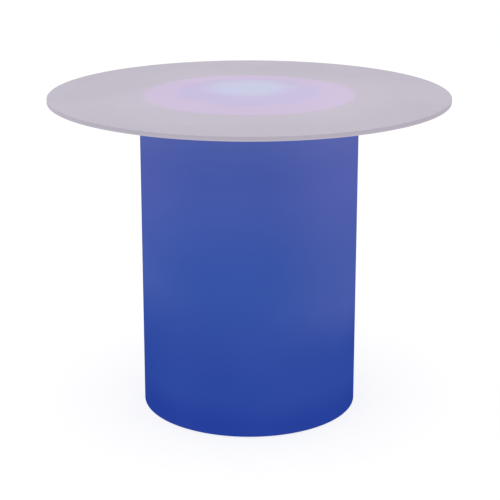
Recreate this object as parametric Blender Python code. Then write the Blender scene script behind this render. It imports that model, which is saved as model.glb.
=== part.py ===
"""Cafe table: a round frosted top that lifts off a lit opal column.

Metres, +Z up. The origin is on the floor, on the column's axis, and the front is -Y.
The column is a tube with a ring bonded in each end. A plate screwed under the lower ring
carries four levelling glides and a rechargeable lamp, which goes in from below. The top
rests on bumpers on the upper ring and is centred by a ring bonded under it.
"""

import math

import bmesh
import bpy
from mathutils import Matrix, Vector
from mathutils.geometry import interpolate_bezier

# Driving dimensions of the table
top_diameter = 0.915
top_thickness = 0.010
top_edge_round = 0.0012
overall_height = 0.737
column_diameter = 0.500
column_wall = 0.006
column_edge_chamfer = 0.0008
column_floor_clearance = 0.003
seat_gap = 0.0003           # left between pieces that touch
cut_overrun = 0.001         # how far a cutter runs past what it cuts
half_turn_share = 0.5       # of a step: turns a ring of pieces to between the axes

# Flange in the column's upper end, and the bumpers on it
flange_width = 0.0727
flange_thickness = 0.008
bumper_count = 6
bumper_diameter = 0.012
bumper_height = 0.0024

# Ring bonded under the top, which drops into the flange's hole
locating_clearance = 0.002
locating_wall = 0.006
locating_height = 0.016
locating_lead_in = 0.0015

# Ring in the column's lower end, and the plate screwed up into it
bottom_ring_width = 0.028
bottom_ring_thickness = 0.010
plate_thickness = 0.008
plate_clearance = 0.001
lamp_hole_clearance = 0.001

# Countersunk screws of the plate and of the lamp, and the round-headed ones inside the lamp
base_screw_count = 6
base_screw = {"head": 0.010, "head_height": 0.0028, "shank": 0.005, "length": 0.016,
              "key": 0.003, "key_depth": 0.0018}
lamp_screw_count = 6
lamp_screw = {"head": 0.0076, "head_height": 0.0022, "shank": 0.004, "length": 0.012,
              "key": 0.0025, "key_depth": 0.0014}
board_screw = {"head": 0.0052, "head_height": 0.0016, "shank": 0.0026, "length": 0.006}
screw_hole_spare = 0.001    # depth of a blind hole past its screw's tip

# Levelling glides
glide_count = 4
glide_inset = 0.020         # from the lower ring's inner edge to a glide's axis
stud_diameter = 0.008
stud_length = 0.026         # above its hexagon
stud_chamfer = 0.0008
stud_hexagon = 0.013
stud_hexagon_height = 0.004
stud_foot_diameter = 0.013
stud_foot_height = 0.0020
stud_neck_diameter = 0.0064
insert_diameter = 0.014
insert_flange_diameter = 0.020
insert_flange_thickness = 0.0015
pad_diameter = 0.036
pad_edge_height = 0.0035
pad_edge_chamfer = 0.0008
pad_collar_diameter = 0.020
pad_floor = 0.0028
pad_lip = 0.0026            # thickness over the stud's foot
swivel_clearance = 0.0005

# Lamp pan: its width and height follow from what it holds
housing_wall = 0.0025
housing_flange_width = 0.024
housing_flange_thickness = 0.003
housing_edge_round = 0.0012
gasket_thickness = 0.0012
gasket_margin = 0.0015
contents_gap = 0.004        # between the cup's lip and the battery tray
boss_count = 4
boss_diameter = 0.009
boss_clearance = 0.005      # from the contents to a boss
boss_wall_gap = 0.004       # from a boss to the pan's wall, bridged by its web
gusset_count = 8
gusset_thickness = 0.0018
gusset_reach = 0.006        # along the floor
gusset_height = 0.018       # up the wall
gusset_end = 0.0012         # left of its height at the tip, and of its reach at the top
light_board_clearance = 0.0024  # over the control board's socket

# Cup in the pan's underside, with the button and the charging inlet
cup_width = 0.070
cup_depth = 0.034
cup_height = 0.020
cup_corner = 0.006
cup_wall = 0.002
cup_lip = 0.003
cup_lip_thickness = 0.0015
post_diameter = 0.006
post_place_share = 0.41     # of the cup's width, from its middle
button_place_share = -0.20
inlet_place_share = 0.15

# Button and switch
button_diameter = 0.012
button_proud = 0.0025
button_flange = 0.0012
button_flange_thickness = 0.001
button_stem_diameter = 0.004
button_edge_round = 0.0006
button_travel = 0.0015
switch_width = 0.006
switch_corner = 0.0006
switch_height = 0.0032
plunger_diameter = 0.0034
plunger_height = 0.001

# Charging inlet, and the flap over it
inlet_diameter = 0.010
inlet_height = 0.011
inlet_bore_diameter = 0.0056
inlet_bore_depth = 0.009
inlet_pin_diameter = 0.0020
inlet_pin_recess = 0.0010
cap_width = 0.014
cap_thickness = 0.0015
cap_corner = 0.002
cap_reach = 0.0085          # from the inlet's axis to the hinge pin
cap_barrel_diameter = 0.0026
cap_barrel_length = 0.008
cap_neck_gap = 0.001        # from the barrel to the flap's full width
hinge_pin_diameter = 0.0010
lug_thickness = 0.0018

# Control board
board_thickness = 0.0016
board_margin = 0.001        # from the cup's outer face in to the board's edge
board_corner = 0.001

# Leads, and the sockets that they plug into
socket_width = 0.007
socket_depth = 0.006
socket_height = 0.0042
socket_inset = 0.0005       # from the control board's rear edge
socket_place_share = 0.22   # of the cup's width, from its middle
lead_spacing = 0.022        # between the two sockets of the light board's lead
light_lead_diameter = 0.0018
battery_lead_diameter = 0.0024
battery_lead_drop = 0.017   # how far it runs along the cells while it comes down to them
battery_lead_tail = 0.004   # from its end to the cells' end
light_bend_share = 0.5      # of a bend's length: how far each end pulls it straight
battery_bend_share = 0.75

# Battery
cell_count = 3
cell_diameter = 0.0184
cell_length = 0.065
cell_edge_round = 0.0010
cell_nub_diameter = 0.0058
cell_nub_height = 0.0015
cell_spacing = 0.0015
tray_floor = 0.0015
tray_end_wall = 0.003
tray_corner = 0.0015
tray_wrap = 0.003           # how far the tray closes over the cells' sides

# Light board, its packages and the receiver for the remote control
light_board_thickness = 0.0016
light_board_edge = 0.0025   # from the board's edge to the pan's wall
package_sides = 4
package_size = 0.005
package_height = 0.0014
outer_package_count = 12
inner_package_count = 6
outer_ring_share = 0.72     # of the board's radius
inner_ring_share = 0.38
receiver_diameter = 0.006
receiver_height = 0.0055

# Dome over the light board
lens_thickness = 0.002
lens_flange_thickness = 0.0025
lens_shoulder = 0.0015      # from the flange's edge in to the dome
lens_height = 0.032
spigot_depth = 0.004
spigot_clearance = 0.001    # above the light board

# Facets
large_segments = 56
lamp_segments = 30
small_segments = 16
screw_segments = 12
lead_steps = 8
lead_round_steps = 2
sharp_angle = math.radians(35)
dome_steps = 4
round_steps = 2

# Radii that follow from the column
tube_outer = column_diameter / 2
tube_inner = tube_outer - column_wall
ring_outer = tube_inner - seat_gap
flange_hole = ring_outer - flange_width
locating_outer = flange_hole - locating_clearance
bottom_ring_inner = ring_outer - bottom_ring_width
base_screw_circle = ring_outer - bottom_ring_width / 2
bumper_circle = (ring_outer + flange_hole) / 2
glide_circle = bottom_ring_inner - glide_inset

# Levels from the floor up to the plate
foot_level = pad_floor + seat_gap
foot_top = foot_level + stud_foot_height
pad_top = foot_top + seat_gap + pad_lip
hexagon_level = pad_top + seat_gap
hexagon_top = hexagon_level + stud_hexagon_height
plate_level = hexagon_top + seat_gap
plate_top = plate_level + plate_thickness
bottom_ring_level = plate_top + seat_gap

# Levels of the column's upper end
top_underside = overall_height - top_thickness
bumper_top = top_underside - seat_gap
column_top = bumper_top - bumper_height - seat_gap
flange_level = column_top - flange_thickness

# Lamp, from the plate down to its underside
gasket_level = plate_level - seat_gap - gasket_thickness
housing_flange_top = gasket_level - seat_gap
housing_level = housing_flange_top - housing_flange_thickness

# Lamp, from its underside up: cup, control board, light board, rim
cup_ceiling = housing_level + cup_height
cup_top = cup_ceiling + cup_wall
board_level = cup_ceiling + inlet_height + seat_gap
board_top = board_level + board_thickness
light_board_level = board_top + socket_height + light_board_clearance
light_board_top = light_board_level + light_board_thickness
housing_rim = light_board_top + spigot_clearance + spigot_depth
boss_top = light_board_level - seat_gap
tray_level = housing_level + housing_flange_thickness + seat_gap
cell_level = tray_level + tray_floor + seat_gap + cell_diameter / 2
tray_top = cell_level + tray_wrap

# Lamp, seen from above: the cup in front, the battery tray behind it, bosses around them
cell_pitch = cell_diameter + cell_spacing
tray_depth = cell_count * cell_pitch + cell_spacing
tray_width = cell_length + 2 * (seat_gap + tray_end_wall)
contents_depth = cup_depth + 2 * cup_lip + contents_gap + tray_depth
cup_place = -contents_depth / 2 + cup_lip + cup_depth / 2
tray_place = contents_depth / 2 - tray_depth / 2
board_rear = cup_place + cup_depth / 2 - board_margin
socket_place = socket_place_share * cup_width
boss_circle = contents_depth / 2 + boss_clearance + boss_diameter / 2
housing_inner = boss_circle + boss_diameter / 2 + boss_wall_gap
housing_outer = housing_inner + housing_wall
housing_flange = housing_outer + housing_flange_width
lamp_screw_circle = housing_outer + housing_flange_width / 2
light_board_radius = housing_inner - light_board_edge
button_place = button_place_share * cup_width
inlet_place = inlet_place_share * cup_width
post_place = post_place_share * cup_width


def clear_scene():
    for item in list(bpy.data.objects):
        bpy.data.objects.remove(item, do_unlink=True)


def make_material(name, colour, roughness, metallic=0.0, glow=0.0):
    material = bpy.data.materials.new(name)
    material.use_nodes = True
    material.diffuse_color = (*colour, 1.0)
    shader = material.node_tree.nodes["Principled BSDF"]
    shader.inputs["Base Color"].default_value = (*colour, 1.0)
    shader.inputs["Roughness"].default_value = roughness
    shader.inputs["Metallic"].default_value = metallic
    shader.inputs["Emission Color"].default_value = (*colour, 1.0)
    shader.inputs["Emission Strength"].default_value = glow
    return material


def make_materials():
    return {
        "frosted": make_material("frosted_acrylic", (0.56, 0.52, 0.61), 0.45, glow=0.1),
        "lit_opal": make_material("lit_opal_acrylic", (0.045, 0.093, 0.38), 0.5, glow=0.5),
        "opal": make_material("opal_acrylic", (0.72, 0.68, 0.78), 0.5),
        "clear": make_material("clear_acrylic", (0.80, 0.82, 0.86), 0.1),
        "plate": make_material("grey_plate", (0.42, 0.42, 0.44), 0.55),
        "steel": make_material("zinc_steel", (0.55, 0.55, 0.56), 0.35, 1.0),
        "brass": make_material("brass", (0.62, 0.47, 0.20), 0.35, 1.0),
        "nylon": make_material("black_nylon", (0.03, 0.03, 0.03), 0.6),
        "moulding": make_material("white_moulding", (0.75, 0.75, 0.74), 0.5),
        "rubber": make_material("grey_rubber", (0.10, 0.10, 0.11), 0.8),
        "diffuser": make_material("diffuser", (0.80, 0.84, 0.95), 0.4, glow=0.3),
        "board": make_material("circuit_board", (0.04, 0.16, 0.08), 0.5),
        "light_board": make_material("white_board", (0.82, 0.82, 0.80), 0.4),
        "cell": make_material("cell_sleeve", (0.05, 0.16, 0.34), 0.35),
        "dark": make_material("dark_plastic", (0.02, 0.02, 0.02), 0.4),
        "lead": make_material("lead_insulation", (0.35, 0.03, 0.02), 0.4),
    }


def circle(radius, height, count):
    """Points of a level circle; with no radius, the one point on the axis."""
    if radius == 0:
        return [Vector((0, 0, height))]
    step = 2 * math.pi / count
    return [Vector((radius * math.cos(i * step), radius * math.sin(i * step), height))
            for i in range(count)]


def hexagon(across_flats, height, count):
    """A level hexagon, with as many points as the circles that it is bridged to."""
    side = math.pi / 3
    points = []
    for i in range(count):
        angle = 2 * math.pi * i / count
        off_flat = (angle + side / 2) % side - side / 2
        radius = across_flats / 2 / math.cos(off_flat)
        points.append(Vector((radius * math.cos(angle), radius * math.sin(angle), height)))
    return points


def rectangle(width, depth, height):
    """The corners of a level rectangle, in order round it."""
    return [Vector((side_x * width / 2, side_y * depth / 2, height))
            for side_x, side_y in ((1, 1), (-1, 1), (-1, -1), (1, -1))]


def rounded_rectangle(width, depth, corner, height, count):
    """A level rectangle with round corners, which share the points evenly."""
    per_corner = count // 4
    points = []
    for quarter, centre in enumerate(rectangle(width - 2 * corner, depth - 2 * corner, height)):
        for step in range(per_corner):
            angle = math.pi / 2 * (quarter + step / (per_corner - 1))
            points.append(centre + corner * Vector((math.cos(angle), math.sin(angle), 0)))
    return points


def turned(profile, count):
    """Sections of a solid of revolution, from its (radius, height) pairs."""
    return [circle(radius, height, count) for radius, height in profile]


def arc(centre, size, first_turn, last_turn, steps=round_steps):
    """(radius, height) pairs along an arc; turns are quarter turns from the outward side."""
    pairs = []
    for step in range(steps + 1):
        angle = math.pi / 2 * (first_turn + (last_turn - first_turn) * step / steps)
        pairs.append((centre[0] + size[0] * math.cos(angle), centre[1] + size[1] * math.sin(angle)))
    return pairs


def bridge(bm, first, second):
    """Faces between two rings; a ring of one point makes a fan."""
    count = max(len(first), len(second))
    for i in range(count):
        j = (i + 1) % count
        corners = [first[i % len(first)], first[j % len(first)],
                   second[j % len(second)], second[i % len(second)]]
        bm.faces.new(list(dict.fromkeys(corners)))


def add_loft(bm, sections, closed, place):
    rings = [[bm.verts.new(place @ point) for point in section] for section in sections]
    following = rings[1:] + rings[:1] if closed else rings[1:]
    for first, second in zip(rings, following):
        bridge(bm, first, second)
    if not closed:
        for ring in (rings[0], rings[-1]):
            if len(ring) > 1:
                bm.faces.new(ring)


def shade(mesh):
    """Round faces smooth, with crisp edges between them."""
    mesh.shade_smooth()
    mesh.set_sharp_from_angle(angle=sharp_angle)
    return mesh


def loft_mesh(name, sections, closed=False, places=(Matrix(),)):
    """A mesh of one lofted solid, or of copies of it at several places."""
    bm = bmesh.new()
    for place in places:
        add_loft(bm, sections, closed, place)
    bmesh.ops.recalc_face_normals(bm, faces=bm.faces)
    mesh = bpy.data.meshes.new(name)
    bm.to_mesh(mesh)
    bm.free()
    return shade(mesh)


def add_object(name, mesh, material=None, place=Matrix()):
    item = bpy.data.objects.new(name, mesh)
    if material and not mesh.materials:
        mesh.materials.append(material)
    item.matrix_world = place
    bpy.context.collection.objects.link(item)
    return item


def add_copies(name, mesh, material, places):
    """Numbered objects that share one mesh."""
    return [add_object(f"{name}_{number}", mesh, material, place)
            for number, place in enumerate(places, 1)]


def add_lead(name, points, diameter, material):
    """A round lead along its points."""
    curve = bpy.data.curves.new(name, "CURVE")
    curve.dimensions = "3D"
    curve.bevel_depth = diameter / 2
    curve.bevel_resolution = lead_round_steps
    curve.use_fill_caps = True
    spline = curve.splines.new("POLY")
    spline.points.add(len(points) - 1)
    for spot, point in zip(spline.points, points):
        spot.co = (*point, 1)
    add_object(name, curve, material)


def around(radius, count, start=0.0):
    """Places on a circle about the axis; start is a share of one step."""
    step = 2 * math.pi / count
    return [Matrix.Rotation((i + start) * step, 4, "Z") @ Matrix.Translation((radius, 0, 0))
            for i in range(count)]


def at(x=0.0, y=0.0, z=0.0):
    return Matrix.Translation((x, y, z))


def combine(target, operation, name, mesh, place=Matrix()):
    """Cut a helper shape out of target, or join it on, and keep the result as target's mesh."""
    helper = add_object(name, mesh, place=place)
    modifier = target.modifiers.new(name, "BOOLEAN")
    modifier.operation = operation
    modifier.solver = "EXACT"
    modifier.object = helper
    depsgraph = bpy.context.evaluated_depsgraph_get()
    target.data = shade(bpy.data.meshes.new_from_object(target.evaluated_get(depsgraph)))
    target.data.name = target.name
    target.modifiers.clear()
    bpy.data.objects.remove(helper, do_unlink=True)
    bpy.data.meshes.remove(mesh)


def drill(target, name, radius, low, high, places, count=screw_segments):
    """Round holes between two levels."""
    hole = turned([(radius, low), (radius, high)], count)
    combine(target, "DIFFERENCE", name, loft_mesh(name, hole, places=places))


def countersink(target, name, screw, level, high, places):
    """Holes for countersunk screws whose heads lie flush with a lower face at level."""
    head = screw["head"] / 2 + seat_gap
    shank = screw["shank"] / 2 + seat_gap
    neck = level + screw["head_height"] + seat_gap
    hole = turned([(head, level - cut_overrun), (head, level + seat_gap), (shank, neck),
                   (shank, high)], screw_segments)
    combine(target, "DIFFERENCE", name, loft_mesh(name, hole, places=places))


def countersunk_mesh(name, screw):
    """A countersunk screw that points up, its head's face at zero, with a hexagon socket."""
    head = screw["head"] / 2
    shank = screw["shank"] / 2
    sections = [
        hexagon(screw["key"], screw["key_depth"], screw_segments),
        hexagon(screw["key"], 0, screw_segments),
        *turned([(head, 0), (shank, screw["head_height"]), (shank, screw["length"])], screw_segments),
    ]
    return loft_mesh(name, sections)


def round_headed_mesh(name, screw):
    """A round-headed screw that points down, the underside of its head at zero."""
    head = screw["head"] / 2
    shank = screw["shank"] / 2
    edge = screw["head_height"] / 2
    return loft_mesh(name, turned([(shank, -screw["length"]), (shank, 0), (head, 0), (head, edge),
                                   (head - edge, screw["head_height"])], screw_segments))


def make_top(materials):
    """The top, and the ring bonded under it."""
    outer = top_diameter / 2 - top_edge_round
    size = (top_edge_round, top_edge_round)
    edge = arc((outer, top_underside + top_edge_round), size, -1, 0)
    edge += arc((outer, overall_height - top_edge_round), size, 0, 1)
    add_object("table_top", loft_mesh("table_top", turned(edge, large_segments)), materials["frosted"])

    high = top_underside - seat_gap
    low = high - locating_height
    inner = locating_outer - locating_wall
    profile = [(inner, low), (locating_outer - locating_lead_in, low),
               (locating_outer, low + locating_lead_in), (locating_outer, high), (inner, high)]
    ring = loft_mesh("locating_ring", turned(profile, large_segments), closed=True)
    add_object("locating_ring", ring, materials["clear"])


def make_column(materials):
    """The tube, the flange in its upper end and the bumpers that the top rests on."""
    edge = column_edge_chamfer
    low = column_floor_clearance
    profile = [(tube_inner, low), (tube_outer - edge, low), (tube_outer, low + edge),
               (tube_outer, column_top - edge), (tube_outer - edge, column_top),
               (tube_inner, column_top)]
    tube = loft_mesh("column_tube", turned(profile, large_segments), closed=True)
    add_object("column_tube", tube, materials["lit_opal"])

    profile = [(flange_hole, flange_level), (ring_outer, flange_level),
               (ring_outer, column_top), (flange_hole, column_top)]
    flange = loft_mesh("top_flange", turned(profile, large_segments), closed=True)
    add_object("top_flange", flange, materials["opal"])

    level = column_top + seat_gap
    half = bumper_diameter / 2
    side = bumper_height / 3
    flat = half / 2
    profile = [(half, level), (half, level + side)]
    profile += arc((flat, level + side), (half - flat, bumper_height - side), 0, 1)[1:]
    bumper = loft_mesh("top_bumper", turned(profile, screw_segments))
    places = around(bumper_circle, bumper_count, half_turn_share)
    add_copies("top_bumper", bumper, materials["clear"], places)


def make_base(materials):
    """The lower ring and the plate, with the plate's screws."""
    level = bottom_ring_level
    high = level + bottom_ring_thickness
    places = around(base_screw_circle, base_screw_count, half_turn_share)
    profile = [(bottom_ring_inner, level), (ring_outer, level), (ring_outer, high),
               (bottom_ring_inner, high)]
    ring = add_object("bottom_ring", loft_mesh("bottom_ring", turned(profile, large_segments), True),
                      materials["opal"])
    drill(ring, "screw_holes", base_screw["shank"] / 2 + seat_gap, level - cut_overrun,
          high + cut_overrun, places)

    outer = tube_inner - plate_clearance
    plate = add_object("base_plate", loft_mesh("base_plate", turned(
        [(outer, plate_level), (outer, plate_top)], large_segments)), materials["plate"])
    past = plate_top + cut_overrun
    low = plate_level - cut_overrun
    countersink(plate, "screw_holes", base_screw, plate_level, past, places)
    drill(plate, "lamp_screw_holes", lamp_screw["shank"] / 2 + seat_gap, low, past,
          around(lamp_screw_circle, lamp_screw_count))
    drill(plate, "insert_holes", insert_diameter / 2 + seat_gap, low, past,
          around(glide_circle, glide_count, half_turn_share))
    drill(plate, "lamp_hole", housing_outer + lamp_hole_clearance, low, past, [Matrix()], lamp_segments)
    screw = countersunk_mesh("base_screw", base_screw)
    add_copies("base_screw", screw, materials["steel"], [place @ at(z=plate_level) for place in places])


def make_glides(materials):
    """Threaded inserts in the plate, studs through them, and a swivelling pad on each stud."""
    places = around(glide_circle, glide_count, half_turn_share)
    bore = stud_diameter / 2 + seat_gap
    barrel = insert_diameter / 2
    flange = insert_flange_diameter / 2
    seat = plate_top + seat_gap
    top = seat + insert_flange_thickness
    profile = [(bore, plate_level), (barrel, plate_level), (barrel, seat), (flange, seat),
               (flange, top), (bore, top)]
    insert = loft_mesh("glide_insert", turned(profile, screw_segments), closed=True)
    add_copies("glide_insert", insert, materials["brass"], places)

    foot = stud_foot_diameter / 2
    neck = stud_neck_diameter / 2
    shank = stud_diameter / 2
    tip = hexagon_top + stud_length
    sections = [
        *turned([(foot, foot_level), (foot, foot_top), (neck, foot_top), (neck, hexagon_level)],
                screw_segments),
        hexagon(stud_hexagon, hexagon_level, screw_segments),
        hexagon(stud_hexagon, hexagon_top, screw_segments),
        *turned([(shank, hexagon_top), (shank, tip - stud_chamfer), (shank - stud_chamfer, tip)],
                screw_segments),
    ]
    add_copies("glide_stud", loft_mesh("glide_stud", sections), materials["steel"], places)

    half = pad_diameter / 2
    throat = neck + swivel_clearance
    chamber = foot + swivel_clearance
    roof = foot_top + seat_gap
    profile = [(half - pad_edge_chamfer, 0), (half, pad_edge_chamfer), (half, pad_edge_height),
               (pad_collar_diameter / 2, pad_top), (throat, pad_top), (throat, roof),
               (chamber, roof), (chamber, pad_floor)]
    pad = loft_mesh("glide_pad", turned(profile, small_segments))
    add_copies("glide_pad", pad, materials["nylon"], places)


def boss_outline(height):
    """A boss that points inwards, webbed to the pan's wall; its screw's axis is the origin."""
    half = boss_diameter / 2
    reach = housing_inner - boss_circle + housing_wall / 2
    points = [Vector((reach, -half, height)), Vector((reach, half, height))]
    for step in range(small_segments // 2 + 1):
        angle = math.pi / 2 + 2 * math.pi * step / small_segments
        points.append(Vector((half * math.cos(angle), half * math.sin(angle), height)))
    return points


def gusset_outline(side):
    """One face of a web between the pan's floor and its wall."""
    low = housing_level + housing_flange_thickness / 2
    floor = housing_level + housing_flange_thickness
    tip = housing_inner - gusset_reach
    back = housing_inner + housing_wall / 2
    high = floor + gusset_height
    pairs = [(tip, low), (tip, floor + gusset_end), (housing_inner - gusset_end, high), (back, high),
             (back, low)]
    return [Vector((radius, side * gusset_thickness / 2, height)) for radius, height in pairs]


def make_housing(materials):
    """The lamp's pan, its gasket and its screws."""
    floor = housing_level + housing_flange_thickness
    size = (housing_edge_round, housing_edge_round)
    profile = arc((housing_flange - housing_edge_round, housing_level + housing_edge_round), size, -1, 0)
    profile += [(housing_flange, housing_flange_top), (housing_outer, housing_flange_top),
                (housing_outer, housing_rim), (housing_inner, housing_rim), (housing_inner, floor)]
    pan = add_object("lamp_housing", loft_mesh("lamp_housing", turned(profile, lamp_segments)),
                     materials["moulding"])

    bosses = around(boss_circle, boss_count)
    sunk = floor - housing_flange_thickness / 2
    combine(pan, "UNION", "bosses", loft_mesh("bosses", [boss_outline(sunk), boss_outline(boss_top)],
                                              places=bosses))
    gussets = around(0, gusset_count, half_turn_share)
    combine(pan, "UNION", "gussets", loft_mesh("gussets", [gusset_outline(-1), gusset_outline(1)],
                                               places=gussets))
    hole_floor = boss_top - board_screw["length"] - screw_hole_spare
    drill(pan, "boss_holes", board_screw["shank"] / 2 + seat_gap, hole_floor,
          boss_top + cut_overrun, bosses)
    window = [rounded_rectangle(cup_width + 2 * seat_gap, cup_depth + 2 * seat_gap,
                                cup_corner + seat_gap, height, small_segments)
              for height in (housing_level - cut_overrun, floor + cut_overrun)]
    combine(pan, "DIFFERENCE", "window", loft_mesh("window", window), at(y=cup_place))

    places = around(lamp_screw_circle, lamp_screw_count)
    countersink(pan, "flange_holes", lamp_screw, housing_level, housing_flange_top + cut_overrun, places)
    screw = countersunk_mesh("lamp_screw", lamp_screw)
    add_copies("lamp_screw", screw, materials["steel"], [place @ at(z=housing_level) for place in places])

    inner = housing_outer + lamp_hole_clearance + gasket_margin
    outer = lamp_screw_circle - lamp_screw["shank"] / 2 - gasket_margin
    high = gasket_level + gasket_thickness
    profile = [(inner, gasket_level), (outer, gasket_level), (outer, high), (inner, high)]
    gasket = loft_mesh("lamp_gasket", turned(profile, lamp_segments), closed=True)
    add_object("lamp_gasket", gasket, materials["rubber"])


def hinge_place():
    """The hinge pin of the inlet's flap, with its own Z along the pin."""
    height = cup_ceiling - seat_gap - cap_barrel_diameter / 2
    return at(inlet_place + cap_reach, cup_place, height) @ Matrix.Rotation(math.pi / 2, 4, "X")


def tab_outline(radius, reach, height):
    """A round end about the origin, with straight sides that run to reach."""
    points = [Vector((reach, -radius, height)), Vector((reach, radius, height))]
    half_steps = screw_segments // 2
    for step in range(half_steps + 1):
        angle = math.pi / 2 + math.pi * step / half_steps
        points.append(Vector((radius * math.cos(angle), radius * math.sin(angle), height)))
    return points


def make_cup(materials):
    """The cup, with two posts for the control board above and two lugs for the flap below."""
    floor = housing_level + housing_flange_thickness
    lip_level = floor + seat_gap
    lip_top = lip_level + cup_lip_thickness

    def section(grow, height):
        return rounded_rectangle(cup_width + 2 * grow, cup_depth + 2 * grow, cup_corner + grow,
                                 height, small_segments)

    sections = [section(-cup_wall, cup_ceiling), section(-cup_wall, housing_level),
                section(0, housing_level), section(0, lip_level), section(cup_lip, lip_level),
                section(cup_lip, lip_top), section(0, lip_top), section(0, cup_top)]
    cup = add_object("control_cup", loft_mesh("control_cup", sections), materials["moulding"],
                     at(y=cup_place))

    post_holes = [at(side * post_place, cup_place) for side in (-1, 1)]
    post_top = board_level - seat_gap
    post = turned([(post_diameter / 2, cup_top - cup_wall / 2), (post_diameter / 2, post_top)],
                  screw_segments)
    combine(cup, "UNION", "posts", loft_mesh("posts", post, places=post_holes))
    drill(cup, "post_holes", board_screw["shank"] / 2 + seat_gap,
          post_top - board_screw["length"] - screw_hole_spare, post_top + cut_overrun, post_holes)

    radius = cap_barrel_diameter / 2
    middle = cap_barrel_length / 2 + seat_gap + lug_thickness / 2
    reach = radius + seat_gap + cup_wall / 2
    lug = [tab_outline(radius, reach, height) for height in (-lug_thickness / 2, lug_thickness / 2)]
    upright = Matrix.Rotation(math.pi / 2, 4, "Z")
    lugs = [hinge_place() @ at(z=side * middle) @ upright for side in (-1, 1)]
    combine(cup, "UNION", "lugs", loft_mesh("lugs", lug, places=lugs))
    half = cap_barrel_length / 2 + seat_gap + lug_thickness + cut_overrun
    drill(cup, "pin_holes", hinge_pin_diameter / 2 + seat_gap, -half, half, [hinge_place()])

    ceiling_low = cup_ceiling - cut_overrun
    ceiling_past = cup_top + cut_overrun
    drill(cup, "button_hole", button_diameter / 2 + seat_gap, ceiling_low, ceiling_past,
          [at(button_place, cup_place)], small_segments)
    drill(cup, "inlet_hole", inlet_diameter / 2 + seat_gap, ceiling_low, ceiling_past,
          [at(inlet_place, cup_place)], small_segments)


def make_button(materials):
    """The push button, whose flange is trapped above the cup's ceiling, and its switch."""
    place = at(button_place, cup_place)
    half = button_diameter / 2
    edge = button_edge_round
    face = cup_ceiling - button_proud
    seat = cup_top + seat_gap
    flange = half + button_flange
    stem = button_stem_diameter / 2
    stem_top = board_level - seat_gap - switch_height - plunger_height - button_travel - seat_gap
    profile = [(half - edge, face), (half, face + edge), (half, seat), (flange, seat),
               (flange, seat + button_flange_thickness), (stem, seat + button_flange_thickness),
               (stem, stem_top)]
    button = loft_mesh("power_button", turned(profile, small_segments))
    add_object("power_button", button, materials["rubber"], place)

    high = board_level - seat_gap
    low = high - switch_height
    plunger = plunger_diameter / 2
    sections = [
        *turned([(plunger, low - plunger_height), (plunger, low)], small_segments),
        rounded_rectangle(switch_width, switch_width, switch_corner, low, small_segments),
        rounded_rectangle(switch_width, switch_width, switch_corner, high, small_segments),
    ]
    add_object("power_switch", loft_mesh("power_switch", sections), materials["dark"], place)


def make_inlet(materials):
    """The charging inlet, its flap and the flap's hinge pin."""
    half = inlet_diameter / 2
    bore = inlet_bore_diameter / 2
    pin = inlet_pin_diameter / 2
    back = cup_ceiling + inlet_bore_depth
    profile = [(pin, cup_ceiling + inlet_pin_recess), (pin, back), (bore, back), (bore, cup_ceiling),
               (half, cup_ceiling), (half, cup_ceiling + inlet_height)]
    inlet = loft_mesh("charge_inlet", turned(profile, small_segments))
    add_object("charge_inlet", inlet, materials["dark"], at(inlet_place, cup_place))

    radius = cap_barrel_diameter / 2
    half_length = cap_barrel_length / 2
    start = radius + cap_neck_gap
    tab = [tab_outline(radius, start + cap_neck_gap, height) for height in (-half_length, half_length)]
    flap = add_object("inlet_cap", loft_mesh("inlet_cap", tab), materials["rubber"],
                      hinge_place() @ Matrix.Rotation(math.pi, 4, "Z"))
    face = cup_ceiling - seat_gap
    end = inlet_place - cap_width / 2
    root = inlet_place + cap_reach - start
    plate = [rounded_rectangle(root - end, cap_width, cap_corner, height, small_segments)
             for height in (face - cap_thickness, face)]
    combine(flap, "UNION", "plate", loft_mesh("plate", plate), at((root + end) / 2, cup_place))
    drill(flap, "pin_hole", hinge_pin_diameter / 2 + seat_gap, -half_length - cut_overrun,
          half_length + cut_overrun, [hinge_place()])

    reach = half_length + seat_gap + lug_thickness
    rod = turned([(hinge_pin_diameter / 2, -reach), (hinge_pin_diameter / 2, reach)], screw_segments)
    add_object("cap_pin", loft_mesh("cap_pin", rod), materials["steel"], hinge_place())


def socket_mesh(level, height):
    """A lead's socket on a board at level; a negative height hangs it under the board."""
    root = level - math.copysign(board_thickness / 2, height)
    return loft_mesh("socket", [rectangle(socket_width, socket_depth, root),
                                rectangle(socket_width, socket_depth, level + height)])


def make_control_board(materials):
    """The board that the switch and the inlet are soldered to, and its two screws."""
    places = [at(side * post_place, cup_place) for side in (-1, 1)]
    outline = [rounded_rectangle(cup_width - 2 * board_margin, cup_depth - 2 * board_margin,
                                 board_corner, height, small_segments)
               for height in (board_level, board_top)]
    board = add_object("control_board", loft_mesh("control_board", outline), materials["board"],
                       at(y=cup_place))
    socket_centre = board_rear - socket_inset - socket_depth / 2
    for side in (-1, 1):
        combine(board, "UNION", "socket", socket_mesh(board_top, socket_height),
                at(side * socket_place, socket_centre))
    drill(board, "screw_holes", board_screw["shank"] / 2 + seat_gap, board_level - cut_overrun,
          board_top + cut_overrun, places)
    screw = round_headed_mesh("board_screw", board_screw)
    seat = board_top + seat_gap
    add_copies("board_screw", screw, materials["steel"], [place @ at(z=seat) for place in places])


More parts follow.
